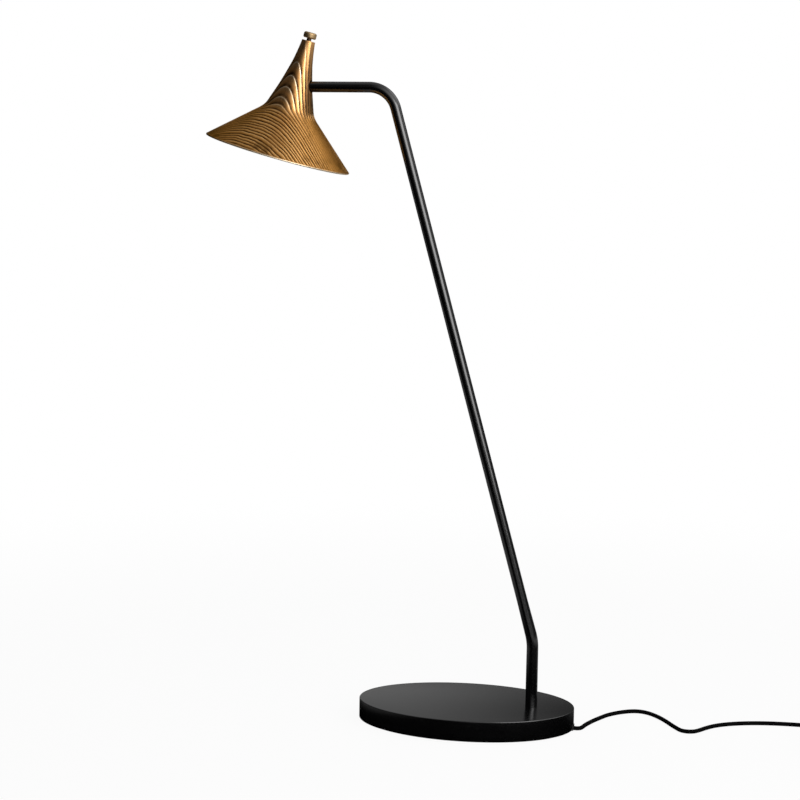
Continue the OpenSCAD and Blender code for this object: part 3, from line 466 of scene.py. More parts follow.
FINISHES: dict[str, PlainFinish | CastBrass] = {
    "brass_cast": CastBrass(),
    "brass_turned": PlainFinish(
        "turned_brass", (0.56, 0.395, 0.21), (0.44, 0.295, 0.145),
        roughness=0.48, spread=0.10, metallic=1.0, grain=5200.0, strength=0.12,
    ),
    "black_paint": PlainFinish(
        "black_coat", (0.0012, 0.0012, 0.0014), (0.002, 0.002, 0.0022),
        roughness=0.19, spread=0.03, specular=0.9, grain=3200.0, strength=0.03,
    ),
    "steel": PlainFinish(
        "zinced_steel", (0.62, 0.62, 0.63), (0.47, 0.47, 0.46),
        roughness=0.34, spread=0.2, metallic=1.0, texture=Texture.UPRIGHT,
    ),
    "blackened_steel": PlainFinish(
        "blackened_steel", (0.05, 0.042, 0.034), (0.09, 0.07, 0.05),
        roughness=0.38, spread=0.2, metallic=0.9,
    ),
    "nickel_pin": PlainFinish(
        "nickel", (0.74, 0.72, 0.68), (0.6, 0.58, 0.55),
        roughness=0.2, metallic=1.0, texture=Texture.UPRIGHT, grain=1800.0,
    ),
    "black_rubber": PlainFinish(
        "black_rubber", (0.016, 0.016, 0.016), (0.026, 0.026, 0.025),
        roughness=0.72, spread=0.15, specular=0.3, strength=0.5,
    ),
    "cord_jacket": PlainFinish(
        "cord_jacket", (0.0015, 0.0015, 0.0017), (0.003, 0.003, 0.003),
        roughness=0.75, specular=0.04, strength=0.3,
    ),
    "lead_jacket": PlainFinish(
        "lead_jacket", (0.55, 0.54, 0.5), (0.42, 0.41, 0.38), roughness=0.45
    ),
    "black_plastic": PlainFinish(
        "black_plastic", (0.012, 0.012, 0.0125), (0.018, 0.018, 0.0185),
        roughness=0.5, grain=4200.0, strength=0.5,
    ),
    "white_plastic": PlainFinish(
        "white_plastic", (0.82, 0.81, 0.77), (0.74, 0.72, 0.67), roughness=0.42
    ),
    "aluminium": PlainFinish(
        "aluminium", (0.76, 0.77, 0.78), (0.64, 0.65, 0.66),
        roughness=0.4, spread=0.2, metallic=1.0,
    ),
    "bright_aluminium": PlainFinish(
        "bright_aluminium", (0.9, 0.9, 0.91), (0.84, 0.84, 0.85),
        roughness=0.12, spread=0.06, metallic=1.0,
    ),
    "opal": PlainFinish(
        "opal", (0.93, 0.92, 0.88), (0.86, 0.85, 0.80),
        roughness=0.5, spread=0.1, grain=3600.0, strength=0.6,
    ),
    "emitter": PlainFinish("emitter", (0.94, 0.76, 0.16), (0.88, 0.66, 0.10), roughness=0.5),
    "circuit_board": PlainFinish(
        "circuit_board", (0.02, 0.14, 0.06), (0.03, 0.2, 0.08), roughness=0.35, coat=0.3
    ),
    "ferrite": PlainFinish(
        "ferrite", (0.05, 0.05, 0.055), (0.08, 0.08, 0.085), roughness=0.62, strength=0.6
    ),
}


class Palette:
    """The materials of the finishes, each made once."""

    def __init__(self) -> None:
        """Starts with no material made."""
        self._made: dict[str, bpy.types.Material] = {}

    def __getitem__(self, slot: str) -> bpy.types.Material:
        """Returns the material of a slot in the record."""
        if slot not in self._made:
            self._made[slot] = FINISHES[slot].material()
        return self._made[slot]


PALETTE = Palette()


def link_mesh(name: str, mesh: bpy.types.Mesh) -> bpy.types.Object:
    """Puts a mesh in the scene.

    Args:
        name: The new object's name.
        mesh: Its mesh, already in place.

    Returns:
        The object, at the origin.
    """
    made = bpy.data.objects.new(name, mesh)
    bpy.context.scene.collection.objects.link(made)
    return made


def mesh_from(
    name: str, points: Sequence[Sequence[float]], faces: Sequence[Sequence[int]]
) -> bpy.types.Mesh:
    """Makes a mesh from points and faces.

    Args:
        name: The mesh's name.
        points: Its corners, in metres.
        faces: The corners of each face, or of each edge where they come in pairs.

    Returns:
        The mesh.
    """
    mesh = bpy.data.meshes.new(name)
    edges = [face for face in faces if len(face) == 2]
    mesh.from_pydata([tuple(p) for p in points], edges, [face for face in faces if len(face) > 2])
    mesh.update()
    return mesh


def shade_smooth(mesh: bpy.types.Mesh, sharp_degrees: float) -> None:
    """Smooths a mesh's shading, apart from its sharp edges."""
    mesh.shade_smooth()
    mesh.set_sharp_from_angle(angle=math.radians(sharp_degrees))


def finish_mesh(
    build: bmesh.types.BMesh, name: str, slots: Sequence[str] = (), sharp_degrees: float | None = 30.0
) -> bpy.types.Mesh:
    """Turns a finished bmesh into a mesh.

    Args:
        build: The bmesh, which is freed.
        name: The mesh's name.
        slots: Its material slots, in the order of its faces' material numbers.
        sharp_degrees: The angle past which an edge stays sharp, or None for shading that comes later.

    Returns:
        The mesh.
    """
    mesh = bpy.data.meshes.new(name)
    build.to_mesh(mesh)
    build.free()
    for slot in slots:
        mesh.materials.append(PALETTE[slot])
    if sharp_degrees is not None:
        shade_smooth(mesh, sharp_degrees)
    return mesh


def apply_modifier(piece: bpy.types.Object, modifier: bpy.types.Modifier) -> None:
    """Makes what a modifier does to a piece the piece's own mesh, and removes the modifier."""
    graph = bpy.context.evaluated_depsgraph_get()
    mesh = bpy.data.meshes.new_from_object(
        piece.evaluated_get(graph), preserve_all_data_layers=True, depsgraph=graph
    )
    piece.modifiers.remove(modifier)
    piece.data = mesh


def settle(piece: bpy.types.Object, body: str, slot: str, *nodes: str) -> bpy.types.Object:
    """Hides the solids that a finished piece stands for, and puts it on the body that it moves with.

    Args:
        piece: The finished piece.
        body: The body that it rides on.
        slot: The record's material slot; not used.
        nodes: The solids that it replaces, if any.

    Returns:
        The piece.
    """
    if nodes:
        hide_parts(*nodes)
    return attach(piece, body)


def round_angles(count: int) -> list[float]:
    """Returns equal steps round a full turn, in radians."""
    return [2 * math.pi * k / count for k in range(count)]


def stitch(build: bmesh.types.BMesh, rings: Sequence[Sequence[bmesh.types.BMVert]]) -> None:
    """Joins each ring of corners to the next with faces. A pole is a ring of one repeated corner."""
    for low, high in zip(rings, rings[1:]):
        for k in range(len(low)):
            n = (k + 1) % len(low)
            build.faces.new(list(dict.fromkeys([low[k], low[n], high[n], high[k]])))


def lathe(
    name: str,
    profile: Profile,
    place: Matrix,
    segments: int,
    slots: Sequence[str] = (),
    closed: bool = False,
) -> bpy.types.Mesh:
    """Turns a profile about the local Z axis.

    Args:
        name: The mesh's name.
        profile: Radius and height of each point, with the outside first on the way up.
        place: Where the turned piece goes.
        segments: Steps round the axis.
        slots: The mesh's material slots.
        closed: Whether the last point joins the first.

    Returns:
        The mesh, in place, with its faces pointing outwards.
    """
    build = bmesh.new()
    rings = []
    for radius, height in profile:
        if radius == 0:
            rings.append([build.verts.new((0, 0, height))] * segments)
        else:
            spots = [(radius * math.cos(a), radius * math.sin(a), height) for a in round_angles(segments)]
            rings.append([build.verts.new(spot) for spot in spots])
    stitch(build, rings + rings[:1] if closed else rings)
    bmesh.ops.recalc_face_normals(build, faces=build.faces)
    build.transform(place)
    return finish_mesh(build, name, slots, sharp_degrees=32.0)


def rounded_corner(
    centre: tuple[float, float], radius: float, start: float, stop: float, steps: int
) -> Profile:
    """Returns points on an arc of a profile, from one angle in degrees to another."""
    angles = [math.radians(start + (stop - start) * k / steps) for k in range(steps + 1)]
    return [(centre[0] + radius * math.cos(a), centre[1] + radius * math.sin(a)) for a in angles]


def smooth_path(points: Sequence[Sequence[float]]) -> list[Vector]:
    """Rounds off a path through given points.

    Args:
        points: The points that the path goes through.

    Returns:
        The finer path, with PATH_STEPS new points for each stretch between two of them.
    """
    known = [Vector(p) for p in points]
    path = [known[0]]
    for i in range(len(known) - 1):
        before = known[max(i - 1, 0)]
        a, b = known[i], known[i + 1]
        after = known[min(i + 2, len(known) - 1)]
        for k in range(1, PATH_STEPS + 1):
            t = k / PATH_STEPS
            path.append(
                0.5 * ((2 * a) + (b - before) * t + (2 * before - 5 * a + 4 * b - after) * t ** 2
                       + (3 * a - before - 3 * b + after) * t ** 3)
            )
    return path


def inner_shell(node: str, is_skin: Callable[[Vector], bool]) -> bmesh.types.BMesh:
    """Copies a solid without its outer skin.

    Args:
        node: The solid's name.
        is_skin: Whether a corner lies on the outer skin.

    Returns:
        The faces that have a corner off the skin.
    """
    build = bmesh.new()
    build.from_mesh(frame["nodes"][node].data)
    bmesh.ops.remove_doubles(build, verts=build.verts, dist=0.002 * MM)
    skin = [face for face in build.faces if all(is_skin(v.co) for v in face.verts)]
    bmesh.ops.delete(build, geom=skin, context="FACES")
    return build


def unit(value: float) -> float:
    """Returns a value held between 0 and 1."""
    return min(max(value, 0.0), 1.0)


class NodeForm:
    """A Geometry Nodes tree that gives a piece its shape.

    Args:
        name: The tree's name.
        inputs: The named inputs after the geometry, with their socket types.
    """

    def __init__(self, name: str, inputs: dict[str, str]) -> None:
        """Makes the tree with its sockets."""
        self.tree = bpy.data.node_groups.new(name, "GeometryNodeTree")
        face = self.tree.interface
        face.new_socket("Geometry", in_out="INPUT", socket_type="NodeSocketGeometry")
        for label, kind in inputs.items():
            face.new_socket(label, in_out="INPUT", socket_type=kind)
        face.new_socket("Geometry", in_out="OUTPUT", socket_type="NodeSocketGeometry")
        self.graph = Graph(self.tree)
        first = self.graph.add("NodeGroupInput").socket.node
        self.given = {s.name: Signal(self.graph, s) for s in first.outputs if s.name}

    def close(self, geometry: Signal) -> None:
        """Ends the tree: instances become real and the material is set."""
        real = self.graph.add("GeometryNodeRealizeInstances", inputs={"Geometry": geometry})
        dressed = self.graph.add(
            "GeometryNodeSetMaterial", inputs={"Geometry": real, "Material": self.given["Material"]}
        )
        self.graph.add("NodeGroupOutput", inputs={"Geometry": dressed})

    def shape(self, name: str, start: bpy.types.Mesh, values: dict[str, Any]) -> bpy.types.Object:
        """Runs the tree on a mesh.

        Args:
            name: The finished piece's name.
            start: The mesh that goes in.
            values: A value for each named input.

        Returns:
            The piece as a plain mesh, with no modifier left on it.
        """
        piece = link_mesh(name, start)
        modifier = piece.modifiers.new("form", "NODES")
        modifier.node_group = self.tree
        for item in self.tree.interface.items_tree:
            if item.in_out == "INPUT" and item.name in values:
                modifier[item.identifier] = values[item.name]
        apply_modifier(piece, modifier)
        return piece


class TubeForm(NodeForm):
    """A round tube along a path of edges."""

    def __init__(self) -> None:
        """Builds the tree: path to curve, curve to tube."""
        super().__init__(
            "tube_along_path",
            {"Radius": "NodeSocketFloat", "Sides": "NodeSocketInt", "Material": "NodeSocketMaterial"},
        )
        add = self.graph.add
        curve = add("GeometryNodeMeshToCurve", inputs={0: self.given["Geometry"]})
        ring = add(
            "GeometryNodeCurvePrimitiveCircle",
            {"mode": "RADIUS"},
            {"Resolution": self.given["Sides"], "Radius": self.given["Radius"]},
        )
        sweep = {"Curve": curve, "Profile Curve": ring, "Fill Caps": True}
        tube = add("GeometryNodeCurveToMesh", inputs=sweep)
        self.close(add("GeometryNodeSetShadeSmooth", inputs={0: tube}))

    def run(
        self, name: str, paths: Sequence[Sequence[Vector]], radius: float, slot: str, sides: int = 24
    ) -> bpy.types.Object:
        """Makes one piece of tubes.

        Args:
            name: The piece's name.
            paths: The centreline of each tube.
            radius: The tubes' radius.
            slot: The material slot.
            sides: Steps round each tube.

        Returns:
            The piece.
        """
        points = [p for path in paths for p in path]
        starts = [sum(len(q) for q in paths[:i]) for i in range(len(paths))]
        edges = [(s + k, s + k + 1) for s, path in zip(starts, paths) for k in range(len(path) - 1)]
        start = mesh_from(name, points, edges)
        piece = self.shape(name, start, {"Radius": radius, "Sides": sides, "Material": PALETTE[slot]})
        shade_smooth(piece.data, sharp_degrees=60.0)
        return piece


class RibForm(NodeForm):
    """A row of equal ribs, one at each point of a mesh."""

    def __init__(self) -> None:
        """Builds the tree: a bar at each point."""
        super().__init__("rib_row", {"Size": "NodeSocketVector", "Material": "NodeSocketMaterial"})
        bar = self.graph.add("GeometryNodeMeshCube", inputs={"Size": self.given["Size"]})
        row = {"Points": self.given["Geometry"], "Instance": bar}
        self.close(self.graph.add("GeometryNodeInstanceOnPoints", inputs=row))


class ReliefForm(NodeForm):
    """Wood grain carved into a turned shell: planes along the axis cut it into stepped rings.

    A band says where something starts and where it is full, by the depth in from the middle of the grain.
    """

    SIZES = ("Neck Spacing", "Brim Spacing", "Neck Reach", "Depth", "Wander", "Wander Scale", "Neck Level")
    DRIFT_STRETCH = (1.0, 1.0, 0.45)
    CALM_SHARE, CALM_BAND = 0.08, (12 * MM, 26 * MM)
    UNEVEN_SCALE, UNEVEN_ROW, UNEVEN_BAND = 300, (0.7, 0.2), (14 * MM, 20 * MM)
    CREST = 0.84
    NECK_FADE = 8 * MM
    MIDDLE_SHARE, MIDDLE_BAND = 0.15, (3 * MM, 22 * MM)

    def __init__(self) -> None:
        """Builds the tree: ring phase, stepped height, then the carving along the normal."""
        sizes = {name: "NodeSocketFloat" for name in self.SIZES}
        inputs = {"Grain Direction": "NodeSocketVector", **sizes, "Material": "NodeSocketMaterial"}
        super().__init__("wood_grain_relief", inputs)
        graph, given, add = self.graph, self.given, self.graph.add
        place = add("GeometryNodeInputPosition")
        drift = graph.noise(graph.stretch(place, self.DRIFT_STRETCH), given["Wander Scale"]) - 0.5
        straight = graph.along(place, given["Grain Direction"])
        calm = self.CALM_SHARE + (1 - self.CALM_SHARE) * abs(straight).ease(*self.CALM_BAND)
        depth_in = abs(straight + drift * given["Wander"] * calm)
        neck_part = depth_in.at_most(given["Neck Reach"]) / given["Neck Spacing"]
        brim_part = (depth_in - given["Neck Reach"]).at_least(0.0) / given["Brim Spacing"]
        row_y, row_z = self.UNEVEN_ROW
        row = add("ShaderNodeCombineXYZ", inputs={0: depth_in * self.UNEVEN_SCALE, 1: row_y, 2: row_z})
        uneven = (graph.noise(row, 1.0, detail=1.0) - 0.5) * depth_in.ease(*self.UNEVEN_BAND)
        grain = neck_part + brim_part + uneven
        phase = grain.fraction()
        height = (1 - phase / self.CREST).at_least(phase.ease(self.CREST, 1.0))
        edge = add("GeometryNodeInputNamedAttribute", {"data_type": "FLOAT"}, {"Name": "edge_fade"})
        level = graph.along(place, Z_AXIS) - given["Neck Level"]
        over_neck = (level / self.NECK_FADE).ease(-1.0, 0.0)
        middle = self.MIDDLE_SHARE + (1 - self.MIDDLE_SHARE) * depth_in.ease(*self.MIDDLE_BAND)
        fade = edge * middle.at_least(over_neck)
        stored = given["Geometry"]
        for name, kind, value in (
            ("grain", "FLOAT", grain), ("carved", "FLOAT", fade), ("place", "FLOAT_VECTOR", place)
        ):
            stored = add(
                "GeometryNodeStoreNamedAttribute",
                {"data_type": kind, "domain": "POINT"},
                {"Geometry": stored, "Name": name, "Value": value},
            )
        sink = (height - 1) * given["Depth"] * fade
        inward = {0: add("GeometryNodeInputNormal"), "Scale": sink}
        shift = add("ShaderNodeVectorMath", {"operation": "SCALE"}, inward)
        cut = add("GeometryNodeSetPosition", inputs={"Geometry": stored, "Offset": shift})
        self.close(add("GeometryNodeSetShadeSmooth", inputs={0: cut}))


@dataclass
class Stem:
    """The bent tube from the base to the head: upright foot, leaning rise, tight bend and level arm."""

    radius: float = 3.85 * MM
    foot_radius: float = 4.35 * MM
    kink_tube: float = 4.2 * MM
    draw_length: float = 24 * MM
    wall: float = 1.1 * MM
    offset: float = 48 * MM
    foot: float = 15.5 * MM
    kink_height: float = 63.8 * MM
    kink_radius: float = 40 * MM
    tilt: float = math.radians(15.8)
    arm_height: float = 458 * MM
    bend_radius: float = 20.5 * MM
    arm_length: float = 69.8 * MM
    arm_tip: float = 6.0 * MM
    kink_steps: int = 14
    bend_steps: int = 28
    sides: int = 64

    @property
    def corner_x(self) -> float:
        """Where the leaning rise would meet the arm."""
        return self.offset - (self.arm_height - self.kink_height) * math.tan(self.tilt)

    @property
    def head_x(self) -> float:
        """Where the arm's axis meets the head's axis."""
        return self.corner_x - self.arm_length

    @staticmethod
    def _arc(centre: tuple[float, float], radius: float, angles: Band, steps: int) -> list[Vector]:
        """Returns points on a bend in the plane of the stem, from one angle to another."""
        start, stop = (math.degrees(angle) for angle in angles)
        return [Vector((x, 0, z)) for x, z in rounded_corner(centre, radius, start, stop, steps)]

    def kink(self) -> list[Vector]:
        """Returns the centreline through the lower kink."""
        start = self.kink_height - self.kink_radius * math.tan(self.tilt / 2)
        centre = (self.offset - self.kink_radius, start)
        return self._arc(centre, self.kink_radius, (0.0, self.tilt), self.kink_steps)

    def bend(self) -> list[Vector]:
        """Returns the centreline through the upper bend."""
        bend_x = self.corner_x - self.bend_radius * math.tan((math.pi / 2 - self.tilt) / 2)
        centre = (bend_x, self.arm_height - self.bend_radius)
        return self._arc(centre, self.bend_radius, (self.tilt, math.pi / 2), self.bend_steps)

    def line(self) -> list[tuple[Vector, float]]:
        """Returns the centreline from the foot to the arm's tip, with the tube's radius at each point."""
        kink = self.kink()
        drawn = kink[-1] + Vector((-math.sin(self.tilt), 0, math.cos(self.tilt))) * self.draw_length
        tip = Vector((self.head_x + self.arm_tip, 0, self.arm_height))
        foot = (Vector((self.offset, 0, self.foot)), self.foot_radius)
        lower = [(p, self.kink_tube) for p in kink]
        upper = [(p, self.radius) for p in (drawn, *self.bend(), tip)]
        return [foot, *lower, *upper]

    def build(self, tubes: TubeForm) -> bpy.types.Object:
        """Makes the stem tube.

        Args:
            tubes: The form that sweeps a tube along a path.

        Returns:
            The stem, hollow, riding the stand.
        """
        piece = tubes.run("stem", [[p for p, _ in self.line()]], self.radius, "black_paint", self.sides)
        self._hollow(piece)
        return settle(piece, "stand", "black_paint", "stem_tube")

    def _hollow(self, piece: bpy.types.Object) -> None:
        """Opens the tube's ends, gives each ring its radius and the tube its wall."""
        build = bmesh.new()
        build.from_mesh(piece.data)
        caps = [face for face in build.faces if len(face.verts) > 4]
        bmesh.ops.delete(build, geom=caps, context="FACES_ONLY")
        bmesh.ops.recalc_face_normals(build, faces=build.faces)
        line = self.line()
        for i, v in enumerate(build.verts):
            centre, radius = line[i // self.sides]
            v.co = centre + (v.co - centre) * (radius / self.radius)
        build.to_mesh(piece.data)
        build.free()
        wall = piece.modifiers.new("wall", "SOLIDIFY")
        wall.thickness = self.wall
        wall.offset = -1.0
        apply_modifier(piece, wall)
        shade_smooth(piece.data, sharp_degrees=50.0)


STEM = Stem()


@dataclass
class Head:
    """The place of the head on the arm, and the outline that the shade is turned to."""

    tilt: float = math.radians(15.5)
    arm_level: float = 50.2 * MM
    rim: float = 54.5 * MM
    brim_height: float = 32 * MM
    brim_wall: float = 1.2 * MM
    throat: float = 18.6 * MM
    throat_round: float = 3 * MM
    waist: float = 7.0 * MM
    waist_height: float = 62.5 * MM
    tip: float = 4.8 * MM
    height: float = 84 * MM

    @property
    def place(self) -> Matrix:
        """The head's own frame: origin in the rim plane, Z up the axis."""
        arm = Matrix.Translation((STEM.head_x, 0, STEM.arm_height))
        return arm @ Matrix.Rotation(self.tilt, 4, "Y") @ Matrix.Translation((0, 0, -self.arm_level))

    @property
    def brim_slope(self) -> float:
        """How fast the straight brim narrows with height."""
        return (self.rim - self.throat) / self.brim_height

    @property
    def inner_rim(self) -> float:
        """The radius of the rim's inner edge."""
        return self.rim - self.brim_wall * math.hypot(1, self.brim_slope)

    def brim_radius(self, z: float) -> float:
        """Returns the straight brim's radius at a height over the rim."""
        return self.rim - self.brim_slope * z

    def neck_radius(self, z: float) -> float:
        """Returns the neck's radius at a height over the rim, on a curve drawn in at the waist."""
        a = self.brim_height - 2 * self.waist_height + self.height
        b = 2 * (self.waist_height - self.brim_height)
        rise = z - self.brim_height
        t = 2 * rise / (b + math.sqrt(b * b + 4 * a * rise))
        return self.throat * (1 - t) ** 2 + 2 * self.waist * t * (1 - t) + self.tip * t * t

    def radius(self, z: float) -> float:
        """Returns the shade's outer radius at a height over the rim."""
        low, high = self.brim_height - self.throat_round, self.brim_height + self.throat_round
        if z <= low:
            return self.brim_radius(z)
        if z >= high:
            return self.neck_radius(z)
        t = (z - low) / (high - low)
        first = self.brim_radius(low) * (1 - t) + self.throat * t
        second = self.throat * (1 - t) + self.neck_radius(high) * t
        return first * (1 - t) + second * t


HEAD = Head()


@dataclass
class Shade:
    """The horn-shaped shade with its wood grain carved into the outside."""

    step: float = 0.46 * MM
    brim_columns: int = 570
    neck_columns: int = 190
    arm_hole: float = 4.3 * MM
    skin_slack: float = 0.12 * MM
    grain_turn: float = math.radians(-15)
    neck_spacing: float = 2.55 * MM
    brim_spacing: float = 2.2 * MM
    neck_reach: float = 15.3 * MM
    depth: float = 0.28 * MM
    wander: float = 3.0 * MM
    wander_scale: float = 60.0
    lip: float = 0.6 * MM
    polish_and_highlight_band: float = 1.3 * MM
    lip_steps: int = 6
    tip_band: float = 20 * MM
    edge_band: float = 1.1 * MM
    hole_shade_band: float = 0.8 * MM
    tip_calm: float = 0.1
    outline_steps: int = 400
    search_reach: float = 30 * MM
    search_steps: int = 40
    rim_slack: float = 0.02 * MM

    @property
    def arm_way(self) -> Vector:
        """The arm's direction in the head's frame."""
        return Vector((math.cos(HEAD.tilt), 0, math.sin(HEAD.tilt)))

    def _rows(self, low: float, high: float) -> Profile:
        """Returns points of the outline, evenly spaced along it between two heights."""
        steps = self.outline_steps
        fine = [low + (high - low) * k / steps for k in range(steps + 1)]
        run = [0.0]
        for a, b in zip(fine, fine[1:]):
            run.append(run[-1] + math.hypot(b - a, HEAD.radius(b) - HEAD.radius(a)))
        count = round(run[-1] / self.step)
        rows, k = [], 0
        for i in range(count + 1):
            while k < len(run) - 2 and run[k + 1] < run[-1] * i / count:
                k += 1
            share = (run[-1] * i / count - run[k]) / (run[k + 1] - run[k])
            z = fine[k] + (fine[k + 1] - fine[k]) * share
            rows.append((HEAD.radius(z), z))
        return rows

    @property
    def lip_top(self) -> float:
        """The height where the rounded rim meets the straight brim."""
        return self.lip * (1 + math.sin(math.atan(HEAD.brim_slope)))

    def _rim(self) -> Profile:
        """Returns points of the rounded rim, from its inner edge to the straight brim."""
        turn = math.degrees(math.atan(HEAD.brim_slope))
        centre = (HEAD.brim_radius(self.lip) - self.lip * math.hypot(1, HEAD.brim_slope), self.lip)
        return [(HEAD.inner_rim, 0.0), *rounded_corner(centre, self.lip, -90, turn, self.lip_steps)]

    def _hole_distance(self, point: Vector) -> float:
        """Returns how far a point on the arm's side lies from the arm's axis."""
        away = point - Vector((0, 0, HEAD.arm_level))
        along = away.dot(self.arm_way)
        return (away - self.arm_way * along).length if along > 0 else math.inf

    def _snap(self, point: Vector) -> Vector:
        """Moves a point in the arm's hole out to the hole's edge, on the shade's surface."""
        centre = Vector((0, 0, HEAD.arm_level))
        away = point - centre
        side = (away - self.arm_way * away.dot(self.arm_way)).normalized() * self.arm_hole
        near, far = 0.0, self.search_reach
        for _ in range(self.search_steps):
            middle = (near + far) / 2
            test = centre + side + self.arm_way * middle
            if math.hypot(test.x, test.y) < HEAD.radius(test.z):
                near = middle
            else:
                far = middle
        return centre + side + self.arm_way * near

    def _skin(self) -> bpy.types.Mesh:
        """Returns the smooth outside in the head's frame, open at the rim, the tip and the arm's hole."""
        seam = HEAD.brim_height + HEAD.throat_round
        build = bmesh.new()
        rings = []
        brim = self._rim() + self._rows(self.lip_top, seam)[1:]
        neck = self._rows(seam, HEAD.height)[1:]
        for columns, rows in ((self.brim_columns, brim), (self.neck_columns, neck)):
            turn = round_angles(columns)
            for r, z in rows:
                rings.append([build.verts.new((r * math.cos(a), r * math.sin(a), z)) for a in turn])
        for low, high in zip(rings, rings[1:]):
            count = len(high)
            share = len(low) // count
            for k in range(count):
                foot = [low[(k * share + i) % len(low)] for i in range(share + 1)]
                build.faces.new([*foot, high[(k + 1) % count], high[k]])
        inside = {v for v in build.verts if self._hole_distance(v.co) < self.arm_hole}
        lost = [face for face in build.faces if all(v in inside for v in face.verts)]
        bmesh.ops.delete(build, geom=lost, context="FACES")
        for v in build.verts:
            if v in inside:
                v.co = self._snap(v.co)
        self._mark(build)
        return finish_mesh(build, "shade_skin", sharp_degrees=None)

    def _mark(self, build: bmesh.types.BMesh) -> None:
        """Stores where the carving fades, where the rim gets its polished line with a painted highlight,
        and where painted shade darkens the ring round the arm's hole.
        """
        names = ("edge_fade", "polish", "hole")
        fade, polish, hole = (build.verts.layers.float.new(name) for name in names)
        for v in build.verts:
            z = v.co.z
            from_hole = self._hole_distance(v.co) - self.arm_hole
            # The rim's polished line, which is also a painted highlight: full up to half the band, gone at
            # its end.
            v[polish] = unit(2 - 2 * z / self.polish_and_highlight_band)
            # Painted shade round the arm's hole: full up to half the band from the hole's edge, gone at its
            # end.
            v[hole] = unit(2 - 2 * from_hole / self.hole_shade_band)
            share = unit(min(z - self.lip_top, HEAD.height - z, from_hole) / self.edge_band)
            tip_share = min((HEAD.height - z) / self.tip_band, 1.0)
            v[fade] = share * share * (3 - 2 * share) * (self.tip_calm + (1 - self.tip_calm) * tip_share)

    def build(self) -> bpy.types.Object:
        """Makes the carved shade: the carved outside joined to the solid's own inside.

        Returns:
            The shade, riding the head.
        """
        values = {
            "Grain Direction": (math.sin(self.grain_turn), -math.cos(self.grain_turn), 0.0),
            "Neck Spacing": self.neck_spacing,
            "Brim Spacing": self.brim_spacing,
            "Neck Reach": self.neck_reach,
            "Depth": self.depth,
            "Wander": self.wander,
            "Wander Scale": self.wander_scale,
            "Neck Level": HEAD.brim_height + HEAD.throat_round,
            "Material": PALETTE["brass_cast"],
        }
        piece = ReliefForm().shape("carved_shade", self._skin(), values)
        piece.data.transform(HEAD.place)
        to_head = HEAD.place.inverted()

        def on_skin(point: Vector) -> bool:
            """Returns whether a corner of the solid lies on its outside."""
            local = to_head @ point
            z = min(max(local.z, 0.0), HEAD.height)
            on_side = abs(math.hypot(local.x, local.y) - HEAD.radius(z)) < self.skin_slack
            return on_side or local.z < self.rim_slack

        inside = finish_mesh(inner_shell("shade", on_skin), "shade_inside", sharp_degrees=None)
        both = bmesh.new()
        both.from_mesh(piece.data)
        carved = len(both.verts)
        both.from_mesh(inside)
        spot = both.verts.layers.float_vector["place"]
        for v in list(both.verts)[carved:]:
            v[spot] = to_head @ v.co
        both.to_mesh(piece.data)
        both.free()
        shade_smooth(piece.data, sharp_degrees=40.0)
        return settle(piece, "head", "brass_cast", "shade")


@dataclass
class Knob:
    """The turned brass knob on its dark shaft at the shade's tip."""

    radius: float = 4.7 * MM
    height: float = 4.4 * MM
    lift: float = 85.8 * MM
    round_top: float = 1.5 * MM
    round_under: float = 1.1 * MM
    bore: float = 1.75 * MM
    socket: float = 2.4 * MM
    under_steps: int = 6
    top_steps: int = 12
    segments: int = 128

    def build(self) -> bpy.types.Object:
        """Makes the knob.

        Returns:
            The knob, riding its own body.
        """
        r, h, under, top = self.radius, self.height, self.round_under, self.round_top
        outside = rounded_corner((r - under, under), under, -90, 0, self.under_steps)
        outside += rounded_corner((r - top, h - top), top, 0, 90, self.top_steps)
        profile = [(0.0, self.socket), (self.bore, self.socket), (self.bore, 0.0), *outside, (0.0, h)]
        place = HEAD.place @ Matrix.Translation((0, 0, self.lift))
        mesh = lathe("turned_knob", profile, place, self.segments, ["brass_turned"])
        return settle(link_mesh("turned_knob", mesh), "knob", "brass_turned", "knob")


@dataclass
class Base:
    """The elliptical base: a smooth skin over the solid's own hollow."""

    length: float = 158 * MM
    width: float = 108 * MM
    bottom: float = 1 * MM
    top: float = 15.5 * MM
    edge: float = 0.6 * MM
    segments: int = 256
    edge_steps: int = 5
    top_slack: float = 0.01 * MM
    side_slack: float = 1.1

    def _ring(self, inset: float, z: float) -> list[Point]:
        """Returns the ellipse at a distance inside the outline, at a height."""
        a, b = self.length / 2 - inset, self.width / 2 - inset
        return [(a * math.cos(t), b * math.sin(t), z) for t in round_angles(self.segments)]

    def build(self) -> bpy.types.Object:
        """Makes the base.

        Returns:
            The base, riding the stand.
        """
        edge = self.edge
        upper = rounded_corner((edge, self.top - edge), edge, 180, 90, self.edge_steps)
        lower = rounded_corner((edge, self.bottom + edge), edge, 270, 180, self.edge_steps)
        build = inner_shell("base_body", self._on_skin)
        rings = [[build.verts.new(p) for p in self._ring(*point)] for point in lower + upper]
        stitch(build, rings)
        build.faces.new(rings[-1])
        piece = link_mesh("base_shell", finish_mesh(build, "base_shell", ["black_paint"]))
        return settle(piece, "stand", "black_paint", "base_body")

    def _on_skin(self, point: Vector) -> bool:
        """Returns whether a corner of the solid lies on its top or its side."""
        if point.z > self.top - self.top_slack:
            return True
        reach = math.hypot(point.x / (self.length / 2), point.y / (self.width / 2))
        return reach > 1 - self.side_slack * self.edge / (self.width / 2)


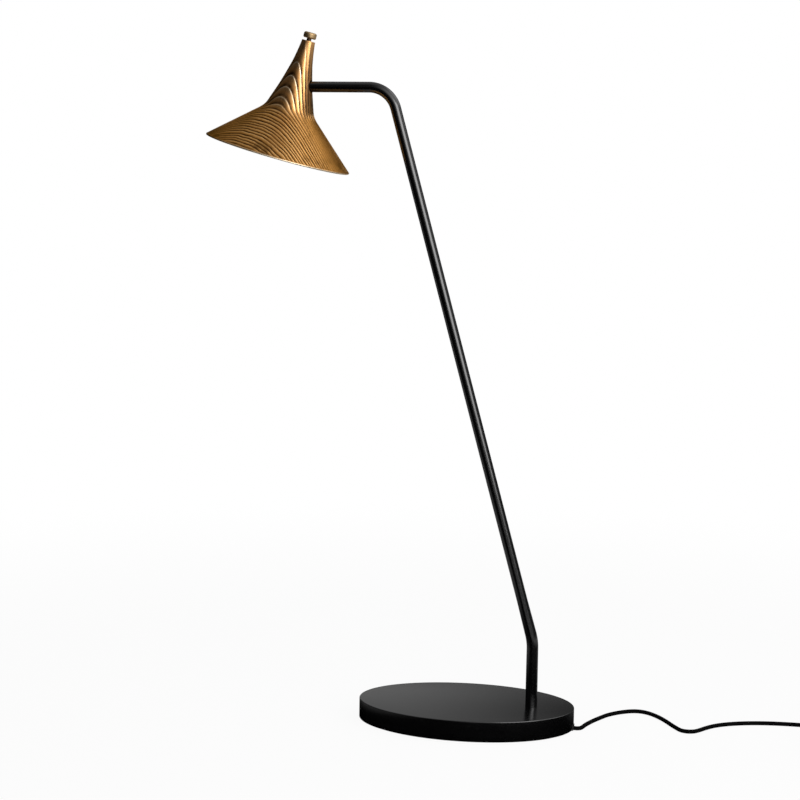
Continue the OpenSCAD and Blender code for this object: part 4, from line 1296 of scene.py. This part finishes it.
@dataclass
class Cord:
    """The thin cord: loose curves on the table, a tied coil, and the tail that goes into the driver.

    Its points and the coil's sizes are in millimetres, its diameter and its length in metres.
    """

    diameter: float = 3 * MM
    length: float = 1.8
    exit_point: Point = (79.4, 0, 1.9)
    coil_centre: tuple[float, float] = (272, 80)
    coil_turns: int = 13
    coil_layers: int = 4
    coil_radius: float = 23.5
    coil_pitch: float = 3.45
    coil_bottom: float = 2.3
    coil_lead: float = 3
    climb_turns: float = 0.5
    points_per_turn: int = 36
    bevel_steps: int = 5
    boot_end: Point = (289, 39, 12)

    ROUTE = (
        (80.2, 0, 1.9), (82.2, 0.5, 1.8), (84, 2.3, 1.7), (85, 6.2, 1.6), (86.2, 12.6, 1.55),
        (88.2, 19.5, 1.55), (91, 27.5, 1.55), (94.5, 36, 1.55), (98, 43.5, 1.55), (102.8, 50.2, 1.55),
        (108, 55.5, 1.55), (114, 59.5, 1.55), (120, 60.5, 1.55), (126, 58, 1.55), (131.5, 53, 1.55),
        (137, 46, 1.55), (142, 38, 1.55), (147, 29, 1.55), (151.5, 21.5, 1.55), (155, 17, 1.55),
        (159.5, 15.5, 1.55), (164, 17, 1.55), (167.5, 21.5, 1.55), (171.5, 28.5, 1.55), (176.5, 35.5, 1.55),
        (183, 41.5, 1.55), (191, 46.5, 1.55), (200, 50.5, 1.55), (210, 53.5, 1.55), (221, 55.5, 1.55),
        (233, 56.5, 1.55), (245, 56.5, 1.6), (256, 56.5, 1.9), (263, 56.5, 2.2),
    )
    TAIL = ((279, 56, 12.4), (283, 54, 12.1), (286.5, 50.5, 11.9), (288.5, 46, 11.9), (289, 41.5, 12))
    IN_DRIVER = (
        (289, 15.5, 12), (290.8, 11.8, 12.6), (295.5, 7.8, 13.5), (299.6, 3.2, 14), (300.6, -3.5, 14),
        (300.6, -12, 14),
    )
    INSIDE = (
        (79.4, 0, 1.9), (73.4, 0, 1.9), (70.8, 0, 2.5), (67.7, 0, 4.05), (64.7, 0.1, 5.6), (61.5, 0.6, 6.2),
        (58, 2.6, 6.2), (55, 5.6, 6.2), (51.8, 8.1, 6.2), (47.5, 9, 6.2), (36, 9, 6.2), (31, 8.4, 6.2),
        (26, 7, 6.2), (22, 6.4, 6.2),
    )

    def _coil_point(self, t: float) -> Point:
        """Returns a point of the coil after t turns: it winds in and out and climbs where it reverses."""
        per_layer = self.coil_turns / self.coil_layers
        q = t / per_layer
        k = math.floor(q)
        fold = q - k if k % 2 == 0 else 1 - q + k
        climb = sum(unit((t - i * per_layer) / self.climb_turns + 0.5) for i in range(1, self.coil_layers))
        r = self.coil_radius - self.coil_pitch * per_layer * fold
        a = 2 * math.pi * t - math.pi / 2
        x, y = self.coil_centre
        return (x + r * math.cos(a), y + r * math.sin(a), self.coil_bottom + self.coil_pitch * climb)

    def path(self) -> list[Vector]:
        """Returns the cord's centreline from the base to the driver, in metres."""
        edge = self.coil_centre[1] - self.coil_radius
        top = self.coil_bottom + (self.coil_layers - 1) * self.coil_pitch
        start = (self.coil_centre[0] - self.coil_lead, edge, self.coil_bottom)
        stop = (self.coil_centre[0] + self.coil_lead, edge, top)
        count = self.coil_turns * self.points_per_turn
        turns = [self._coil_point(k / self.points_per_turn) for k in range(count + 1)]
        run = smooth_path([self.exit_point, *self.ROUTE, start, turns[0]])
        tail = smooth_path([turns[-1], stop, *self.TAIL, self.boot_end, *self.IN_DRIVER])
        return [Vector(p) * MM for p in [*run, *turns[1:-1], *tail]]

    def build(self, tubes: TubeForm) -> bpy.types.Object:
        """Makes the free cord and the stretch inside the base.

        Args:
            tubes: The form that sweeps a tube along a path.

        Returns:
            The free cord, riding the stand.
        """
        points = self.path()
        curve = bpy.data.curves.new("cord", "CURVE")
        curve.dimensions = "3D"
        curve.bevel_depth = self.diameter / 2
        curve.bevel_resolution = self.bevel_steps
        curve.use_fill_caps = True
        spline = curve.splines.new("POLY")
        spline.points.add(len(points) - 1)
        for spot, point in zip(spline.points, points):
            spot.co = (*point, 1.0)
        spline.use_smooth = True
        curve.materials.append(PALETTE["cord_jacket"])
        piece = bpy.data.objects.new("cord", curve)
        bpy.context.scene.collection.objects.link(piece)
        settle(piece, "stand", "cord_jacket", "cord_run", "cord_coil", "cord_tail")
        inside = smooth_path([Vector(p) * MM for p in self.INSIDE])
        inner = tubes.run("cord_in_base", [inside], self.diameter / 2, "cord_jacket")
        settle(inner, "stand", "cord_jacket", "cord_inner")
        return piece

    def declare(self) -> None:
        """Works out the cord's exit point in metres, and keeps nothing of it.
        """
        tuple(c * MM for c in self.exit_point)


@dataclass
class Driver:
    """The plug-in driver at the cord's end: case, face with two pins, ribbed boot."""

    centre_x: float = 289 * MM
    end_y: float = 19 * MM
    length: float = 58 * MM
    width: float = 34 * MM
    height: float = 24 * MM
    corner: float = 4 * MM
    bevel: float = 1.2 * MM
    face_thick: float = 2.5 * MM
    face_sink: float = 0.4 * MM
    seam: float = 0.3 * MM
    boot_length: float = 20 * MM
    boot_radius: float = 4.5 * MM
    boot_tip: float = 2.4 * MM
    boot_bore: float = 1.55 * MM
    boot_ribs: int = 7
    rib_depth: float = 0.35 * MM
    pin_radius: float = 2 * MM
    pin_root: float = 1.85 * MM
    pin_shoulder: float = 0.15 * MM
    pin_round: float = 1.2 * MM
    pin_length: float = 19 * MM
    pin_root_length: float = 10 * MM
    pin_spacing: float = 18.6 * MM
    pin_depth: float = 5.5 * MM
    grip_count: int = 9
    grip_step: float = 2.6 * MM
    grip_size: Point = (0.9 * MM, 1.1 * MM, 13 * MM)
    least_corner: float = 0.4 * MM
    corner_steps: int = 8
    bevel_steps: int = 5
    round_steps: int = 6
    segments: int = 48

    CORNERS = ((1, 1, 0), (-1, 1, 90), (-1, -1, 180), (1, -1, 270))
    LYING = Matrix.Rotation(math.radians(90), 4, "X")

    def _outline(self, inset: float) -> Profile:
        """Returns the case's rounded outline, seen along its length, at a distance inside it."""
        w, h = self.width / 2 - inset, self.height / 2 - inset
        r = max(self.corner - inset, self.least_corner)
        points: Profile = []
        for sx, sz, start in self.CORNERS:
            centre = (sx * (w - r), sz * (h - r))
            points += rounded_corner(centre, r, start, start + 90, self.corner_steps)
        return [(x + self.centre_x, z + self.height / 2) for x, z in points]

    def _block(self, name: str, node: str, stations: Sequence[tuple[float, float]]) -> bpy.types.Object:
        """Makes a closed block from outlines along the driver.

        Args:
            name: The piece's name.
            node: The solid that it stands for.
            stations: How far each outline lies along the driver, and how far inside the case's outline.

        Returns:
            The block, riding the stand.
        """
        build = bmesh.new()
        rings = []
        for along, inset in stations:
            y = self.end_y - along
            rings.append([build.verts.new((x, y, z)) for x, z in self._outline(inset)])
        stitch(build, rings)
        build.faces.new(rings[0])
        build.faces.new(rings[-1])
        bmesh.ops.recalc_face_normals(build, faces=build.faces)
        piece = link_mesh(name, finish_mesh(build, name, ["black_plastic"]))
        return settle(piece, "stand", "black_plastic", node)

    def _case(self) -> bpy.types.Object:
        """Returns the case, with a bevelled end and a fine seam toward the face."""
        bevel = self.bevel
        end = [(bevel - c, bevel - s) for c, s in rounded_corner((0, 0), bevel, 0, 90, self.bevel_steps)]
        stop = [(self.length - self.seam, 0.0), (self.length, self.seam)]
        return self._block("driver_shell", "driver_case", [*end, *stop])

    def _face(self) -> bpy.types.Object:
        """Returns the face that carries the pins."""
        start, stop = self.length, self.length + self.face_thick
        rim = [(start, self.seam), (start + self.seam, 0.0)]
        bevel = self.bevel
        arc = rounded_corner((0, 0), bevel, 90, 0, self.bevel_steps)
        end = [(stop - bevel + c, bevel - s) for s, c in arc]
        sunk = [(stop, self.corner), (stop - self.face_sink, self.corner + self.face_sink)]
        return self._block("driver_face", "driver_plate", [*rim, *end, *sunk])

    def _boot(self) -> bpy.types.Object:
        """Returns the tapered boot with its soft ribs."""
        steps = self.round_steps * self.boot_ribs
        outside: Profile = []
        for k in range(steps + 1):
            share = k / steps
            taper = self.boot_tip + (self.boot_radius - self.boot_tip) * share
            wave = 0.5 - 0.5 * math.cos(2 * math.pi * self.boot_ribs * share)
            outside.append((taper - self.rib_depth * wave, self.boot_length * share))
        inside = [(self.boot_bore, self.boot_length), (self.boot_bore, 0.0)]
        tip = Matrix.Translation((self.centre_x, self.end_y + self.boot_length, self.height / 2))
        profile = outside + inside
        mesh = lathe("ribbed_boot", profile, tip @ self.LYING, self.segments, ["black_rubber"], closed=True)
        return settle(link_mesh("ribbed_boot", mesh), "stand", "black_rubber", "driver_boot")

    def _pins(self) -> bpy.types.Object:
        """Returns the two pins with sleeved roots and rounded tips."""
        root = self.pin_depth + self.pin_root_length
        stop = self.pin_depth + self.pin_length
        r, tip = self.pin_radius, self.pin_round
        profile = [(0.0, 0.0), (self.pin_root, 0.0), (self.pin_root, root), (r, root + self.pin_shoulder)]
        profile += [*rounded_corner((r - tip, stop - tip), tip, 0, 90, self.round_steps), (0.0, stop)]
        build = bmesh.new()
        back = self.end_y - self.length - self.face_thick + self.pin_depth
        for side in (-1, 1):
            at = (self.centre_x + side * self.pin_spacing / 2, back, self.height / 2)
            build.from_mesh(lathe("pin", profile, Matrix.Translation(at) @ self.LYING, self.segments))
        sleeve_end = back - root
        for face in build.faces:
            face.material_index = 1 if face.calc_center_median().y > sleeve_end else 0
        piece = link_mesh("pins", finish_mesh(build, "pins", ["nickel_pin", "black_plastic"]))
        return settle(piece, "stand", "nickel_pin", "plug_pins")

    def _grips(self) -> bpy.types.Object:
        """Returns the rows of grip ribs on the case's two long sides."""
        middle = self.end_y - self.length / 2
        spots = []
        for side in (-1, 1):
            for k in range(self.grip_count):
                along = (k - (self.grip_count - 1) / 2) * self.grip_step
                spots.append((self.centre_x + side * self.width / 2, middle + along, self.height / 2))
        values = {"Size": self.grip_size, "Material": PALETTE["black_plastic"]}
        piece = RibForm().shape("grip_ribs", mesh_from("grip_ribs", spots, []), values)
        return settle(piece, "stand", "black_plastic")

    def build(self) -> list[bpy.types.Object]:
        """Makes the driver's pieces.

        Returns:
            Every new piece that lies on the cord.
        """
        return [self._case(), self._face(), self._boot(), self._pins(), self._grips()]


@dataclass
class Wiring:
    """The leads in the stem and the head, and the knob's return spring.

    The leads' points are in millimetres. Those of DOWN and UP lie in the head's own frame.
    """

    lead_radius: float = 0.6 * MM
    spindle_end: float = -6.4 * MM
    spring_radius: float = 2.2 * MM
    spring_wire: float = 0.2 * MM
    spring_turns: int = 4
    spring_bottom: float = 59.85 * MM
    spring_top: float = 63.65 * MM
    knob_travel: float = 1 * MM
    lead_sides: int = 12
    wire_sides: int = 10
    turn_steps: int = 24

    FOOT = (
        (22, -6.4, 6.2), (25, -6.3, 6.2), (30, -5.6, 6), (36, -3.8, 5.2), (42, -1.7, 4.6),
        (45.4, -0.6, 4.8), (47.2, -0.1, 5.7), (48, 0, 7.4),
    )
    DOWN = (
        (-7, 0.7, 48.2), (-8.2, 0.7, 47.5), (-9, 0.7, 46), (-9.2, 0.6, 43), (-8.8, 0.4, 38), (-8, 0, 33),
        (-7.5, 0, 29), (-7.5, 0, 26),
    )
    UP = (
        (-7, -0.7, 48.4), (-8, -0.7, 48.9), (-8.4, -0.7, 50.2), (-8.3, -0.7, 52.6), (-7.2, -0.7, 54.6),
        (-5.4, -0.7, 56), (-4.1, -0.7, 56.9), (-3.6, -0.7, 57.8), (-3.6, -0.7, 58.4),
    )

    def build(self, tubes: TubeForm) -> list[bpy.types.Object]:
        """Makes the leads and the spring.

        Args:
            tubes: The form that sweeps a tube along a path.

        Returns:
            The new pieces.
        """
        foot = smooth_path([Vector(p) * MM for p in self.FOOT])
        end = Vector((STEM.head_x + self.spindle_end, 0, STEM.arm_height))
        rise = [*foot, *STEM.kink(), *STEM.bend(), end]
        stem = tubes.run("lead_in_stem", [rise], self.lead_radius, "lead_jacket", self.lead_sides)
        ways = [[HEAD.place @ (p * MM) for p in smooth_path(way)] for way in (self.DOWN, self.UP)]
        head = tubes.run("leads_in_head", ways, self.lead_radius, "lead_jacket", self.lead_sides)
        spring = tubes.run("knob_spring", [self._helix()], self.spring_wire, "steel", self.wire_sides)
        settle(stem, "stand", "lead_jacket", "stem_lead")
        settle(head, "head", "lead_jacket", "head_leads")
        settle(spring, "head", "steel", "return_spring")
        up = HEAD.place.to_3x3() @ Vector((0, 0, 1))
        seat = HEAD.place @ Vector((0, 0, self.spring_bottom))
        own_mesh(spring)
        return [stem, head, spring]

    def _helix(self) -> list[Vector]:
        """Returns the centreline of the spring's wire."""
        count = self.turn_steps * self.spring_turns
        r, rise = self.spring_radius, self.spring_top - self.spring_bottom
        helix = []
        for k in range(count + 1):
            a = 2 * math.pi * k / self.turn_steps
            z = self.spring_bottom + rise * k / count
            helix.append(HEAD.place @ Vector((r * math.cos(a), r * math.sin(a), z)))
        return helix


@dataclass(frozen=True)
class SoftPatch:
    """A soft-edged patch of light, on the floor or in the sky.

    A band along an axis says where the light starts and where it is full. Bands multiply.
    """

    strength: float
    x: tuple[Band, ...] = ()
    y: tuple[Band, ...] = ()
    z: tuple[Band, ...] = ()
    least: float = 0.0

    def light(self, axes: Sequence[Signal]) -> Any:
        """Returns the patch's light.

        Args:
            axes: The place or the direction along X, Y and Z.

        Returns:
            The light, which the bands along X only bring down to least.
        """
        light: Any = self.strength - self.least
        for band in self.x:
            light = light * axes[0].ease(*band)
        light = light + self.least
        for axis, bands in zip(axes[1:], (self.y, self.z)):
            for band in bands:
                light = light * axis.ease(*band)
        return light


@dataclass(frozen=True)
class SoftBox:
    """A soft rectangular lamp: where it stands, the point that it faces, its size and its watts."""

    name: str
    at: Point
    aim: Point
    size: tuple[float, float]
    power: float

    def hang(self) -> None:
        """Puts the lamp in the scene, out of the camera's sight."""
        data = bpy.data.lights.new(self.name, "AREA")
        data.shape = "RECTANGLE"
        data.size, data.size_y = self.size
        data.energy = self.power
        lamp = bpy.data.objects.new(self.name, data)
        lamp.location = self.at
        lamp.rotation_mode = "QUATERNION"
        lamp.rotation_quaternion = (Vector(self.aim) - Vector(self.at)).to_track_quat("-Z", "Y")
        lamp.visible_camera = False
        bpy.context.scene.collection.objects.link(lamp)


@dataclass
class Studio:
    """The camera, the pale floor and the soft light."""

    eye: Point = (0.28028, -1.41670, 0.39666)
    forward: Point = (-0.22756, 0.96744, -0.11079)
    roll: float = math.radians(0.888)
    lens: float = 91.17
    sensor: float = 36.0
    nearest: float = 0.05
    floor_size: float = 40.0
    floor_tone: float = 0.93
    floor_white: float = 0.93
    shadow_fade: Band = (0.35, 1.05)
    sky_least: float = 0.015
    sky_diffuse: float = 0.42
    front_aim: Point = (0.5, -0.82, 0.28)
    front_cone: Band = (0.6, 0.95)

    WHITE = rgba((1.0, 1.0, 1.0))
    SEEN_BY = ("Is Camera Ray", "Is Transmission Ray", "Is Glossy Ray")
    FLOOR_PATCHES = {
        "behind": SoftPatch(0.20, x=((-0.4, 0.0),), y=((0.0, 0.12),), least=0.06),
        "left": SoftPatch(0.3, x=((-0.1, -0.2),), y=((0.6, 0.2), (-0.4, -0.2))),
        "right": SoftPatch(0.6, x=((0.3, 0.8),)),
        "ahead": SoftPatch(1.0, x=((0.08, 0.16),), y=((-0.5, -0.58), (-0.95, -0.8))),
    }
    SKY_PATCHES = {
        "right": SoftPatch(0.45, x=((0.0, 0.8),), z=((0.1, 0.4),)),
        "above": SoftPatch(0.43, x=((-0.8, -0.1),), y=((-0.8, -0.15),), z=((0.3, 0.8),), least=0.10),
        "behind": SoftPatch(
            0.34, x=((-0.03, -0.29), (-0.6, -0.42)), y=((0.6, 0.9),), z=((0.02, 0.14), (0.6, 0.4))
        ),
    }
    FRONT = SoftPatch(1.1, x=((-0.3, 0.3),), z=((0.05, 0.28),))
    WINDOW = SoftPatch(0.3, x=((-0.55, -0.42), (0.3, 0.05)), y=((0.80, 0.90),), z=((0.10, 0.02),))
    LAMPS = (
        SoftBox("key", at=(1.0, -0.95, 0.78), aim=(-0.05, 0, 0.40), size=(1.1, 0.8), power=10.5),
        SoftBox("overhead", at=(1.0, 0.5, 1.5), aim=(-0.1, 0, 0.3), size=(1.2, 1.2), power=4.0),
    )

    def camera(self) -> None:
        """Makes the scene's camera at the photograph's viewing angle."""
        ahead = Vector(self.forward).normalized()
        right = ahead.cross(Vector(Z_AXIS)).normalized()
        up = right.cross(ahead)
        side = right * math.cos(self.roll) + up * math.sin(self.roll)
        top = up * math.cos(self.roll) - right * math.sin(self.roll)
        data = bpy.data.cameras.new("camera")
        data.lens = self.lens
        data.sensor_width = self.sensor
        data.clip_start = self.nearest
        eye = bpy.data.objects.new("camera", data)
        turn = Matrix((side, top, -ahead)).transposed().to_4x4()
        eye.matrix_world = Matrix.Translation(self.eye) @ turn
        bpy.context.scene.collection.objects.link(eye)
        bpy.context.scene.camera = eye

    def _rays(self, graph: Graph) -> tuple[Signal, Signal]:
        """Returns whether a ray comes straight or through glass, and whether it comes off a gloss."""
        camera, through, glossy = (graph.add("ShaderNodeLightPath", output=name) for name in self.SEEN_BY)
        return camera.at_least(through), glossy

    def floor(self) -> None:
        """Lays the pale floor, which keeps a faint shadow."""
        half = self.floor_size / 2
        corners = [(x * half, y * half, 0) for x, y in ((-1, -1), (1, -1), (1, 1), (-1, 1))]
        mesh = mesh_from("floor", corners, [(0, 1, 2, 3)])
        material, graph = new_material("pale_floor")
        direct, glossy = self._rays(graph)
        place = graph.add("ShaderNodeTexCoord", output="Object")
        axes = graph.axes(place)
        lit, *others = (patch.light(axes) for patch in self.FLOOR_PATCHES.values())
        for patch in others:
            lit = lit.at_least(patch)
        away = graph.add("ShaderNodeVectorMath", {"operation": "LENGTH"}, {0: place}, "Value")
        far = away.ease(*self.shadow_fade)
        white = self.floor_white + (1 - self.floor_white) * far
        tone = rgba((self.floor_tone, self.floor_tone, self.floor_tone))
        matte = graph.add("ShaderNodeBsdfDiffuse", inputs={"Color": tone})
        strength = direct + (1 - direct) * lit
        glow = graph.add("ShaderNodeEmission", inputs={"Color": self.WHITE, "Strength": strength})
        share = direct * white + (1 - direct) * glossy
        graph.surface({0: share, 1: matte, 2: glow}, "ShaderNodeMixShader")
        mesh.materials.append(material)
        link_mesh("floor", mesh)

    def world(self) -> None:
        """Sets a white background with dimmer sides for the light and the reflections."""
        world = bpy.data.worlds.new("studio")
        bpy.context.scene.world = world
        world.use_nodes = True
        world.node_tree.nodes.clear()
        graph = Graph(world.node_tree)
        way = graph.add("ShaderNodeTexCoord", output="Generated")
        axes = graph.axes(way)
        front = graph.along(way, self.front_aim).ease(*self.front_cone)
        glow = self.FRONT.light(axes) * front + self.sky_least
        for patch in self.SKY_PATCHES.values():
            glow = glow + patch.light(axes)
        reflected = glow.at_least(self.WINDOW.light(axes))
        seen, glossy = self._rays(graph)
        strength = seen + (1 - seen) * (glossy * reflected + (1 - glossy) * self.sky_diffuse)
        sky = graph.add("ShaderNodeBackground", inputs={"Color": self.WHITE, "Strength": strength})
        graph.add("ShaderNodeOutputWorld", inputs={"Surface": sky})

    def build(self) -> None:
        """Sets up the whole studio."""
        bpy.context.scene.view_settings.view_transform = "Standard"
        self.camera()
        self.floor()
        self.world()
        for lamp in self.LAMPS:
            lamp.hang()


def dress_solids() -> None:
    """Gives every solid that still shows the finish of its slot in the record."""
    for part in frame["record"]["subparts"]:
        solid = frame["nodes"][part["node"]]
        if solid.hide_render:
            continue
        solid.data.materials.clear()
        solid.data.materials.append(PALETTE[part["material_slot"]])
        LOG.info("solid %s: %s", part["node"], part["material_slot"])


def main() -> None:
    """Builds the lamp's pieces in order and reports each."""
    logging.basicConfig(level=logging.INFO, format="%(name)s: %(message)s")
    Studio().build()
    tubes = TubeForm()
    cord = Cord()
    flex = cord.build(tubes)
    driver = Driver().build()
    pieces = [flex, *driver, Base().build(), STEM.build(tubes), Shade().build(), Knob().build()]
    pieces += Wiring().build(tubes)
    dress_solids()
    loose = [frame["nodes"][name] for name in ("cord_tie", "driver_board", "driver_core")]
    cord.declare()
    for piece in pieces:
        LOG.info("piece %s rides %s", piece.name, piece["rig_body"])


if __name__ == "__main__":
    main()
